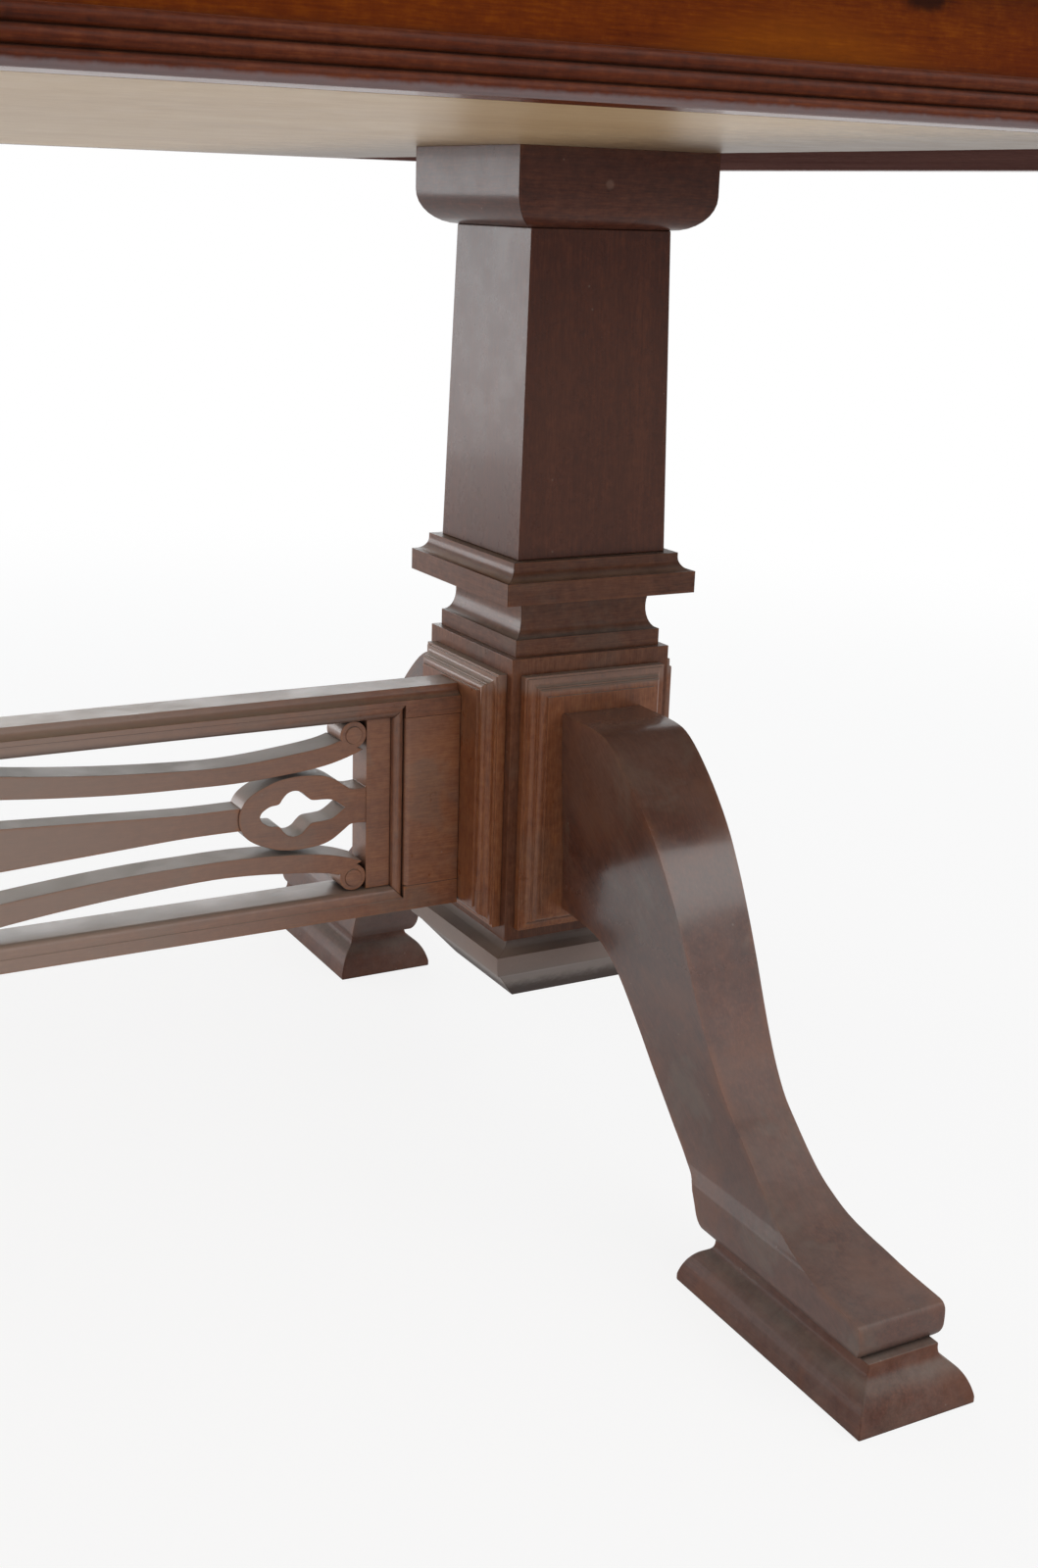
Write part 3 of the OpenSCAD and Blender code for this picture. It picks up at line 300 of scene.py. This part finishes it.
def eased(nodes, ease, material, sharp=34):
    """Shows each node as a copy with its arrises eased by that many metres. An
    arris is an edge that turns by more than sharp degrees."""
    for name in nodes:
        shape = bmesh.new()
        shape.from_mesh(frame["nodes"][name].data)
        bmesh.ops.remove_doubles(shape, verts=shape.verts, dist=SAME_POINT)
        bmesh.ops.dissolve_limit(shape, angle_limit=FLAT, verts=shape.verts, edges=shape.edges)
        for face in shape.faces:
            face.smooth = True
        for edge in shape.edges:
            paired = len(edge.link_faces) == 2
            edge.smooth = paired and edge.calc_face_angle() < math.radians(sharp)
        mesh = bpy.data.meshes.new(name + "_eased")
        shape.to_mesh(mesh)
        shape.free()
        mesh.materials.append(material)
        piece = bpy.data.objects.new(name + "_eased", mesh)
        bpy.context.scene.collection.objects.link(piece)
        bevel = piece.modifiers.new("eased", "BEVEL")
        bevel.width = ease
        bevel.segments = 2
        bevel.limit_method = "ANGLE"
        bevel.angle_limit = math.radians(sharp)
        bevel.harden_normals = True
        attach(piece, frame["nodes"][name]["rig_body"])
        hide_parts(name)


def tone(red, green, blue):
    """A colour as it shows on screen, 0 to 255 each, in the renderer's own scale."""
    return tuple((part / 255) ** 2.2 for part in (red, green, blue)) + (1.0,)


# What lies on old polish, or shows where it is worn through, and the tones of a
# painted sheen, of painted shade on faces that look down and of dirt darkened
# by painted shade in corners
GREY_BLOOM, RUSTY, GREYED = tone(128, 108, 100), tone(120, 72, 46), tone(112, 104, 94)
PAINTED_SHEEN_TONE, BARE_WOOD = tone(176, 156, 145), tone(168, 104, 62)
DUST, SPECK = tone(150, 152, 146), tone(170, 155, 140)
FILM, DIRT_AND_SHADE, UNDERSIDE_SHADE = tone(96, 86, 76), tone(34, 25, 22), tone(36, 27, 23)
KICKED = tone(110, 90, 80)


def timber(
    name, run, shades, shift, rough=0.3, gloss=1.25, coat=0.1, mirror=0.5, figure=1.0,
    bloom=0.3, mottle=0.0, painted_sheen=0.0, wear=0.5, edge=0.004, dust=0.3, under=0.5,
    grime_and_shade=0.8, specks=0.3, scuffed=0.0, marks=(),
):
    """Wood whose grain runs along the piece. shades are its dark, middle and light
    tones, and shift moves the pattern, so that no two woods show the same one. The
    next four set the polish, and figure the strength of the grain. The rest age it,
    and some of them paint light and shade, in the order of the layers below: a sheen
    paler towards the middle of the table, painted shade on faces that look down, and
    painted shade with the dirt in corners. A mark is its middle, its reach along each
    axis, its tone and how strongly it shows."""
    finish = Finish(bpy.data.materials.new(name))
    x, y, z = finish.axes()
    seam = None
    if run == "lengthwise":
        lay = [y, z, x]
    elif run == "crosswise":
        lay = [x, z, y]
    elif run == "upright":
        lay = [x, y, z]
    elif run == "leg":
        out = abs(y)
        lay = [x, out * 0.6 + z * 0.8, out * 0.8 - z * 0.6]
    else:
        # The grain turns at the mitres, and a thin dark joint shows there
        if run == "mitred":
            past = abs(abs(x) - POST_X) - abs(y)
        else:
            past = (abs(x) - END_X) - (abs(y) - SIDE_Y)
        across = past.math("GREATER_THAN", 0.0)
        lay = [y + (x - y) * across, z, x + (y - x) * across]
        seam = 1 - abs(past).rise(0.0001, 0.0007)
    wood = finish.vector([part + shift for part in lay])
    place = finish.vector([x + shift, y, z])
    clouds = finish.noise(wood, (9, 9, 3), 3.0, 0.55, 0.4)
    ribbon = finish.noise(wood, (60, 60, 2.4), 4.0, 0.6, 0.3)
    streaks = finish.noise(wood, (420, 420, 9), 3.0, 0.6)
    flecks = finish.noise(wood, (900, 900, 90), 2.0, 0.6)
    pores = finish.noise(wood, (1500, 1500, 60), 1.0, 0.5).rise(0.62, 0.76)
    fine = finish.noise(place, (160, 160, 160), 4.0, 0.7)
    patchy = finish.noise(place, (32, 32, 32), 5.0, 0.65)
    level = (clouds - 0.5) * 0.7 + (ribbon - 0.5) * 0.3 + (streaks - 0.5) * 0.35
    level = level + (flecks - 0.5) * 0.6
    level = 0.5 + (level + (fine - 0.5) * 0.6) * figure
    dark, middle, light = shades
    stops = {"stops": [(0.2, dark), (0.5, middle), (0.8, light)]}
    colour = finish.node("ShaderNodeValToRGB", stops, {0: level}).outputs[0]
    colour = finish.mix(pores * (0.35 * figure), colour, dark)

    # A grey bloom in the old polish, rusty and greyed patches, and a painted sheen
    # that turns the wood paler and greyer towards the middle of the table; arrises
    # rubbed down to paler, redder wood
    misted = patchy.rise(0.15, 0.85) * 0.7 + fine.rise(0.1, 0.9) * 0.3
    colour = finish.mix(misted * bloom, colour, GREY_BLOOM)
    if mottle:
        stain = finish.noise(place, (16, 16, 16), 4.0, 0.6, 0.5)
        colour = finish.mix(stain.rise(0.5, 0.68) * mottle, colour, RUSTY)
        colour = finish.mix((1 - stain.rise(0.34, 0.48)) * mottle, colour, GREYED)
    # Painted sheen: paler and greyer towards the middle of the table, away from the posts
    if painted_sheen:
        from_posts = (1 - abs(x) / POST_X).rise(0.05, 0.7)
        colour = finish.mix(from_posts * painted_sheen, colour, PAINTED_SHEEN_TONE)
    corner = finish.hemmed_in(edge, samples=4, inside=True)
    rubbed = corner.rise(0.3, 0.7) * patchy.rise(0.32, 0.6) * wear
    colour = finish.mix(rubbed, colour, finish.mix(0.5, light, BARE_WOOD))

    # Dust that settles on top, painted shade on faces that look down, a film of dirt
    # near mouldings and thick dirt with painted shade where they meet, and pale specks
    facing = finish.node("ShaderNodeNewGeometry").outputs["Normal"]
    slope = Value(finish, finish.node("ShaderNodeSeparateXYZ", None, {0: facing}).outputs[2])
    settled = slope.rise(0.4, 0.95) * (misted * 0.6 + 0.4) * dust
    colour = finish.mix(settled, colour, DUST)
    # Painted shade: every face that looks down is darkened, as strongly as under says
    if under:
        colour = finish.mix((1 - slope.rise(-0.7, -0.1)) * under, colour, UNDERSIDE_SHADE)
    near = finish.hemmed_in(UNDER_A_LEDGE, samples=6)
    film = near.rise(0.25, 0.8) * (patchy * 0.8 + 0.1) * grime_and_shade
    colour = finish.mix(film * 0.5, colour, FILM)
    # Thick dirt and painted shade: it darkens wherever other surfaces stand within a few
    # millimetres, in corners and quirks; the mitre seams are kept as dark joints
    hollow = finish.hemmed_in(IN_A_CORNER, samples=6)
    dirt_and_shade = hollow.rise(0.3, 0.72) * (patchy * 0.4 + 0.6) * grime_and_shade
    if seam is not None:
        dirt_and_shade = dirt_and_shade.math("MAXIMUM", seam * 0.7)
    colour = finish.mix(dirt_and_shade * 0.85, colour, DIRT_AND_SHADE)
    spots = finish.value("ShaderNodeTexVoronoi", None, {"Vector": place, "Scale": 60.0})
    colour = finish.mix((1 - spots.rise(0.02, 0.06)) * specks, colour, SPECK)

    # The marks, and the foot of a leg, kicked dull up to the height scuffed
    for at, reach, shade, share in marks:
        parts = zip((x, y, z), at, reach)
        apart = finish.vector([(part - middle_at) / along for part, middle_at, along in parts])
        apart = finish.value("ShaderNodeVectorMath", {"operation": "LENGTH"}, {0: apart}, 1)
        ragged = (1 - (apart + (fine - 0.5) * 0.5).rise(0.45, 1.05)) * share
        colour = finish.mix(ragged, colour, shade)
    roughness = rough + (misted - 0.5) * 0.1 + settled * 0.4 + dirt_and_shade * 0.4 + rubbed * 0.1
    if scuffed:
        kicked = 1 - z.rise(scuffed * 0.45, scuffed)
        colour = finish.mix(kicked * misted * 0.25, colour, KICKED)
        roughness = roughness + kicked * 0.42
        misted = misted.math("MAXIMUM", kicked)
    constants = {"IOR": gloss, "Specular IOR Level": mirror}
    constants.update({"Coat Roughness": 0.08, "Coat IOR": 1.35})
    links = {"Base Color": colour, "Roughness": roughness}
    if coat:
        links["Coat Weight"] = (1 - misted * 0.5) * (1 - settled) * (1 - dirt_and_shade) * coat
    height = streaks * 0.2 - pores * 0.6 + fine * 0.3 + clouds * 2.0
    return finish.surface(constants, links, height, GRAIN_DEPTH)


def pair(piece):
    """The two nodes of a piece that stands on both sides."""
    return [piece + "_right", piece + "_left"]


BROWN = (tone(56, 26, 17), tone(82, 42, 28), tone(112, 63, 43))
WARM = (tone(98, 52, 25), tone(136, 78, 43), tone(170, 107, 64))
EARTHY = (tone(72, 40, 25), tone(104, 62, 41), tone(134, 86, 59))
# The reach of a mark that goes past the ends of a piece
PAST_ENDS = 9.0

scuffs = [((POST_X - 0.0088, -0.074, 0.6685), (0.004, 0.01, 0.0035), tone(150, 120, 105), 0.4)]
cap_wood = timber("cap wood", "mitred", BROWN, 1.7, bloom=0.15, under=0.0, marks=scuffs)
eased(pair("cap"), 0.001, cap_wood)
# Painted light on the shaft: a soft pale wash that makes it lighter towards its foot, and a painted
# sheen low on its face towards the middle of the table
shaft_painted_light = [((POST_X, 0.0, 0.43), (0.5, 0.5, 0.2), tone(150, 114, 98), 0.12),
         ((POST_X - 0.076, 0.0, 0.42), (0.014, 0.3, 0.15), tone(176, 160, 156), 0.35)]
shaft_wood = timber("shaft wood", "upright", BROWN, 0.3, rough=0.28, figure=0.8, bloom=0.08,
                    marks=shaft_painted_light)
eased(pair("shaft"), 0.0008, shaft_wood)
collar_wood = timber("collar wood", "mitred", EARTHY, 2.9, bloom=0.25, dust=0.5, mottle=0.2)
eased(pair("collar"), 0.0006, collar_wood)
block_wood = timber("block wood", "upright", EARTHY, 4.1, bloom=0.25, mottle=0.2)
eased(pair("block"), 0.0012, block_wood)
panel_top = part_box("raised_panels_right")[1].z
sooty = [((POST_X, 0.0, panel_top), (PAST_ENDS, PAST_ENDS, 0.014), tone(156, 142, 134), 0.4)]
panel_wood = timber("panel wood", "upright", WARM, 5.3, gloss=1.35, mottle=0.2, dust=0.8,
                    marks=sooty)
eased(pair("raised_panels"), 0.0006, panel_wood)
# A painted highlight: a pale grey band round the base moulding
base_painted_highlight = [((POST_X, 0.0, 0.142), (PAST_ENDS, PAST_ENDS, 0.024), tone(156, 144, 138), 0.7)]
base_wood = timber("base wood", "mitred", EARTHY, 6.7, rough=0.5, gloss=1.15, coat=0.0,
                   bloom=0.8, mottle=0.3, dust=0.5, under=0.8, marks=base_painted_highlight)
eased(pair("base_moulding"), 0.0008, base_wood)

# Legs: four sabre legs sawn from thick plank, their grain running down their length,
# bolted to the panels; and under each a moulded foot block that takes the knocks.
# A painted sheen at the top of the front leg of the right pedestal, standing for its reflection of
# the pale underside of the table
leg_top_painted_sheen = [((POST_X, -0.12, 0.3), (0.1, 0.1, 0.07), tone(140, 112, 98), 0.3)]
leg_wood = timber("leg wood", "leg", BROWN, 8.3, rough=0.18, gloss=1.55, coat=0.3, bloom=0.35,
                  mottle=0.35, wear=0.7, edge=0.012, dust=0.1, scuffed=0.24, marks=leg_top_painted_sheen)
leg_nodes = ["leg_front_right", "leg_back_right", "leg_front_left", "leg_back_left"]
eased(leg_nodes, 0.0034, leg_wood, 40)
foot_wood = timber("foot wood", "crosswise", BROWN, 9.1, rough=0.55, bloom=0.65, mottle=0.25,
                   wear=0.2, edge=0.01, dust=0.4)
eased(pair("feet"), 0.0009, foot_wood)

# Stretcher: two rails and two stiles round pierced fretwork, sawn from board and
# carved with scrolls, with upright beads that hide the joints.
# Old, worn wood, with a painted sheen towards the middle of the table and dirt darkened by painted
# shade in its corners
aged_with_painted_light = {"gloss": 1.45, "painted_sheen": 0.75, "bloom": 0.35, "wear": 1.0, "mottle": 0.3, "grime_and_shade": 1.0}
rail_wood = timber("rail wood", "lengthwise", WARM, 11.3, dust=0.6, **aged_with_painted_light)
eased(["stretcher_top_rail", "stretcher_bottom_rail"], 0.0008, rail_wood)
stile_wood = timber("stile wood", "lengthwise", WARM, 12.1, **aged_with_painted_light)
eased(["stretcher_stiles"], 0.001, stile_wood)
bead_wood = timber("bead wood", "upright", WARM, 13.1, **aged_with_painted_light)
eased(["stretcher_beads"], 0.0006, bead_wood)
fret_wood = timber("fret wood", "lengthwise", WARM, 14.7, rough=0.38, dust=0.8, **aged_with_painted_light)
fret_nodes = ["fret_ends", "fret_upper_bars", "fret_lower_bars", "fret_middle_bars", "fret_tablet"]
eased(fret_nodes, 0.0008, fret_wood)

# Frame under the top: pale secondary timber boards and bearers, sawn and planed but
# never polished, screwed to the caps; and the stained boards at the ends.
PALE = (tone(188, 154, 114), tone(210, 178, 136), tone(226, 202, 164))
STAINED = (tone(70, 46, 43), tone(90, 62, 58), tone(108, 78, 72))
bare = {"bloom": 0.1, "dust": 0.0, "grime_and_shade": 0.3, "wear": 0.1, "coat": 0.0, "under": 0.0}
shaded = [((0.78, 0.0, 0.694), (0.36, PAST_ENDS, PAST_ENDS), tone(92, 72, 60), 0.8)]
board_wood = timber("board wood", "lengthwise", PALE, 16.3, rough=0.34, gloss=1.14, figure=0.6,
                    marks=shaded, **bare)
cross_wood = timber("cross wood", "crosswise", PALE, 17.3, rough=0.6, figure=0.6, **bare)
stained_wood = timber("stained wood", "crosswise", STAINED, 18.7, rough=0.75, mirror=0.0, **bare)
eased(["well_board"], 0.0006, board_wood)
eased(["cross_rails"], 0.0008, cross_wood)
eased(["bearers"], 0.0004, board_wood)
eased(pair("end_board"), 0.0006, stained_wood)

# Top, leaf and aprons: glossy orange-brown mahogany with figure, the aprons mitred
# at the corners and finished with a reeded moulding; corner blocks glued inside,
# and pale runners that carry each half of the top.
FIGURED = (tone(76, 27, 2), tone(110, 49, 3), tone(142, 73, 8))
polished = {"figure": 0.7, "bloom": 0.02, "wear": 0.2, "dust": 0.0, "under": 0.0, "specks": 0.0}
table_top = {"gloss": 1.3, "coat": 0.25, "grime_and_shade": 0.5}
apron = {"rough": 0.22, "gloss": 1.12, "coat": 0.05, "grime_and_shade": 0.7}
figured = [((0.39, -SIDE_Y, 0.706), (0.07, 0.02, 0.022), tone(158, 88, 12), 0.28),
           ((0.56, -SIDE_Y, 0.715), (0.09, 0.02, 0.04), tone(92, 32, 4), 0.35),
           ((0.448, -SIDE_Y, 0.7348), (0.014, 0.01, 0.0062), tone(40, 18, 10), 0.85)]
top_wood = timber("top wood", "lengthwise", FIGURED, 21.1, rough=0.16, **table_top, **polished)
leaf_wood = timber("leaf wood", "crosswise", FIGURED, 22.1, rough=0.2, **table_top, **polished)
side_wood = timber("side apron wood", "lengthwise", FIGURED, 23.1, marks=figured,
                   **apron, **polished)
end_wood = timber("end apron wood", "crosswise", FIGURED, 24.1, **apron, **polished)
REEDED = (tone(58, 22, 6), tone(88, 38, 14), tone(116, 60, 30))
lit_edge = [((0.0, 0.0, 0.6895), (PAST_ENDS, PAST_ENDS, 0.0038), tone(170, 158, 160), 0.45)]
reed_wood = timber("reeding wood", "round", REEDED, 25.1, rough=0.45, gloss=1.22, coat=0.0,
                   bloom=0.03, dust=0.05, under=0.0, specks=0.0, marks=lit_edge)
eased(pair("top"), 0.0005, top_wood)
eased(pair("side_aprons"), 0.0005, side_wood)
eased(pair("end_apron"), 0.0005, end_wood)
eased(pair("reeding"), 0.0003, reed_wood)
eased(["leaf"], 0.0005, leaf_wood)
eased(pair("corner_blocks"), 0.0008, cross_wood)
eased(pair("runners"), 0.0004, board_wood)


# Metalwork: brass pinion, racks and locks, whose faces are brushed, and steel tie
# rods and bolts with their nuts, all a little tarnished.
BRUSH_DEPTH = 0.00005


def metal(name, shade, polish):
    finish = Finish(bpy.data.materials.new(name))
    place = finish.vector(finish.axes())
    brushed = finish.noise(place, (900, 60, 60), 3.0, 0.6)
    tarnish = finish.noise(place, (60, 60, 60), 4.0, 0.6).rise(0.45, 0.75)
    dull = tuple(part * 0.45 for part in shade[:3]) + (1.0,)
    links = {"Base Color": finish.mix(tarnish * 0.5, shade, dull)}
    links["Roughness"] = polish + (brushed - 0.5) * 0.2 + tarnish * 0.2
    return finish.surface({"Metallic": 1.0}, links, brushed, BRUSH_DEPTH)


brass = metal("brass", tone(190, 160, 95), 0.32)
steel = metal("steel", tone(150, 150, 155), 0.35)
lock_nodes = ["lock_plates", "lock_keepers", "lock_arm_front", "lock_arm_back"]
eased(pair("rack") + ["pinion"] + lock_nodes, 0.0002, brass)
eased(["tie_rods", "frame_bolts", "pinion_pin"], 0.0003, steel)

# Wood screws of brass, turned with a slotted countersunk head, a plain shank and a
# thread. Some are driven down through the cross rails and bearers, the others up
# through the runners into the top.


class Maker(Graph):
    """A Geometry Nodes tree with named sizes, that sets one shape out on many points."""

    def __init__(self, name, sizes):
        group = bpy.data.node_groups.new(name, "GeometryNodeTree")
        group.interface.new_socket("Points", in_out="INPUT", socket_type="NodeSocketGeometry")
        for label in sizes:
            group.interface.new_socket(label, in_out="INPUT", socket_type="NodeSocketFloat")
        group.interface.new_socket("Pieces", in_out="OUTPUT", socket_type="NodeSocketGeometry")
        super().__init__(group)
        self.given = self.node("NodeGroupInput")

    def size(self, label):
        return Value(self, self.given.outputs[label])

    def part(self, kind, settings=None, sockets=None):
        return self.node(kind, settings, sockets).outputs[0]

    def moved(self, part, height):
        sockets = {"Geometry": part, "Translation": self.vector([0, 0, height])}
        return self.part("GeometryNodeTransform", None, sockets)

    def set_out(self, part, turns, material):
        """The part on every point, turned by these three angles, as one plain mesh."""
        turn = self.part("FunctionNodeEulerToRotation", None, {0: self.vector(turns)})
        sockets = {"Points": self.given.outputs["Points"], "Instance": part, "Rotation": turn}
        made = self.part("GeometryNodeInstanceOnPoints", None, sockets)
        made = self.part("GeometryNodeRealizeInstances", None, {0: made})
        made = self.part("GeometryNodeSetMaterial", None, {"Geometry": made, "Material": material})
        self.node("NodeGroupOutput", None, {0: made})

    def shape(self, points, sizes):
        """Adds what the tree makes of these points and sizes to a new mesh."""
        seed = bpy.data.meshes.new(self.tree.name)
        seed.from_pydata(points, [], [])
        piece = bpy.data.objects.new(self.tree.name, seed)
        bpy.context.scene.collection.objects.link(piece)
        modifier = piece.modifiers.new("maker", "NODES")
        modifier.node_group = self.tree
        for item in self.tree.interface.items_tree:
            if item.in_out == "INPUT" and item.name in sizes:
                modifier[item.identifier] = sizes[item.name]
        depsgraph = bpy.context.evaluated_depsgraph_get()
        made = bpy.data.meshes.new_from_object(piece.evaluated_get(depsgraph))
        piece.modifiers.remove(modifier)
        bpy.data.objects.remove(piece)
        return made


def solids(name):
    """The lowest and highest corner of each separate solid of a CAD node."""
    shape = bmesh.new()
    shape.from_mesh(frame["nodes"][name].data)
    bmesh.ops.remove_doubles(shape, verts=shape.verts, dist=SAME_POINT)
    left = set(shape.verts)
    found = []
    while left:
        group = [left.pop()]
        for vert in group:
            for edge in vert.link_edges:
                other = edge.other_vert(vert)
                if other in left:
                    left.remove(other)
                    group.append(other)
        low = Vector(min(v.co[i] for v in group) for i in range(3))
        high = Vector(max(v.co[i] for v in group) for i in range(3))
        found.append((low, high))
    shape.free()
    return sorted(found, key=lambda ends: tuple(round(c, 4) for c in ends[0]))


def joined(name, meshes, material):
    """One piece of one material, made of these meshes, in place of the CAD node."""
    shape = bmesh.new()
    for mesh in meshes:
        shape.from_mesh(mesh)
    for face in shape.faces:
        face.material_index = 0
    whole = bpy.data.meshes.new(name + "_made")
    shape.to_mesh(whole)
    shape.free()
    whole.materials.append(material)
    piece = bpy.data.objects.new(name + "_made", whole)
    bpy.context.scene.collection.objects.link(piece)
    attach(piece, frame["nodes"][name]["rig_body"])
    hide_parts(name)


def cone(maker, top, bottom, depth):
    """A round bar from height 0 up to depth, with these radii at its ends."""
    sizes = {"Radius Top": top, "Radius Bottom": bottom, "Depth": depth}
    sizes.update({"Vertices": 24, "Side Segments": 1})
    return maker.part("GeometryNodeMeshCone", None, sizes)


# The top of a screw's head is at height 0, and its point below
screw_sizes = ("Shank", "Head", "Head height", "Length", "Slot", "Pitch", "Turned over")
screws = Maker("screw", screw_sizes)
shank_wide, head_wide = screws.size("Shank"), screws.size("Head")
head_high, screw_long = screws.size("Head height"), screws.size("Length")
head = screws.moved(cone(screws, head_wide / 2, shank_wide / 2, head_high), 0 - head_high)
groove_size = screws.vector([head_wide * 1.1, screws.size("Slot"), head_high * 0.7])
groove = screws.part("GeometryNodeMeshCube", None, {"Size": groove_size})
cut = {"Mesh 1": head, "Mesh 2": groove}
head = screws.part("GeometryNodeMeshBoolean", {"operation": "DIFFERENCE"}, cut)
plain_long, tip_long = screw_long * 0.35, screw_long * 0.1
worm_long = screw_long * 0.9 - head_high - plain_long
shank = cone(screws, shank_wide / 2, shank_wide / 2, plain_long)
core = shank_wide * 0.42
worm = cone(screws, core, core * 0.9, worm_long)
tip = cone(screws, core * 0.9, core * 0.1, tip_long)
winding = {"Resolution": 14, "Rotations": worm_long / screws.size("Pitch")}
winding.update({"Start Radius": core, "End Radius": core, "Height": worm_long})
thread_path = screws.part("GeometryNodeCurveSpiral", None, winding)
profile = {"Resolution": 3, "Radius": shank_wide * 0.1}
ridge = screws.part("GeometryNodeCurvePrimitiveCircle", None, profile)
swept = {"Curve": thread_path, "Profile Curve": ridge, "Fill Caps": True}
thread = screws.part("GeometryNodeCurveToMesh", None, swept)
screw_point = 0 - screw_long
whole_screw = screws.part("GeometryNodeJoinGeometry", None, {0: [
    head,
    screws.moved(shank, 0 - head_high - plain_long),
    screws.moved(worm, screw_point + tip_long),
    screws.moved(tip, screw_point),
    screws.moved(thread, screw_point + tip_long),
]})
any_turn = {2: 0.0, 3: math.pi, "Seed": 7}
spin = screws.value("FunctionNodeRandomValue", None, any_turn, 1)
screws.set_out(whole_screw, [screws.size("Turned over") * math.pi, 0, spin], brass)

screw_nodes = {"frame_screws": False, "runner_screws_right": True, "runner_screws_left": True}
for node, over in screw_nodes.items():
    ends = solids(node)
    lengths = {}
    for low, high in ends:
        middle = (low + high) / 2
        head_z = low.z if over else high.z
        lengths.setdefault(round(high.z - low.z, 4), []).append((middle.x, middle.y, head_z))
    wide = max(high.x - low.x for low, high in ends)
    sizes = {"Shank": wide / 2, "Head": wide, "Head height": wide * 0.4, "Slot": wide * 0.12}
    sizes.update({"Pitch": wide * 0.22, "Turned over": float(over)})
    meshes = [
        screws.shape(places, {**sizes, "Length": length})
        for length, places in sorted(lengths.items())
    ]
    joined(node, meshes, brass)

# Pegs of pale wood that line up the halves of the top, and the leaf once it is laid
# between them. Half of each is glued into an edge; they are fluted to let the glue
# out, and taper a little at their ends.
pegs = Maker("peg", ("Diameter", "Length", "Flutes", "Along Y"))
peg_wide, peg_long = pegs.size("Diameter"), pegs.size("Length")
flutes = {"Points": pegs.size("Flutes"), "Twist": 0.0}
flutes.update({"Inner Radius": peg_wide * 0.465, "Outer Radius": peg_wide * 0.5})
star = pegs.part("GeometryNodeCurveStar", None, flutes)
first, last = [pegs.vector([peg_long * share, 0, 0]) for share in (-0.5, 0.5)]
axis = pegs.part("GeometryNodeCurvePrimitiveLine", None, {"Start": first, "End": last})
axis = pegs.part("GeometryNodeResampleCurve", None, {"Curve": axis, "Count": 25})
along = pegs.value("GeometryNodeSplineParameter")
from_end = 0.5 - abs(along - 0.5)
swept = {"Curve": axis, "Profile Curve": star, "Fill Caps": True}
swept["Scale"] = 0.82 + from_end.rise(0.0, 0.07) * 0.18
peg = pegs.part("GeometryNodeCurveToMesh", None, swept)
pegs.set_out(peg, [0, 0, pegs.size("Along Y") * (math.pi / 2)], cross_wood)

for node, turned in (("top_pegs", False), ("leaf_pegs", True)):
    ends = solids(node)
    places = [tuple((low + high) / 2) for low, high in ends]
    size = ends[0][1] - ends[0][0]
    sizes = {"Diameter": size.z, "Length": size.y if turned else size.x}
    sizes.update({"Flutes": 20.0, "Along Y": float(turned)})
    joined(node, [pegs.shape(places, sizes)], cross_wood)
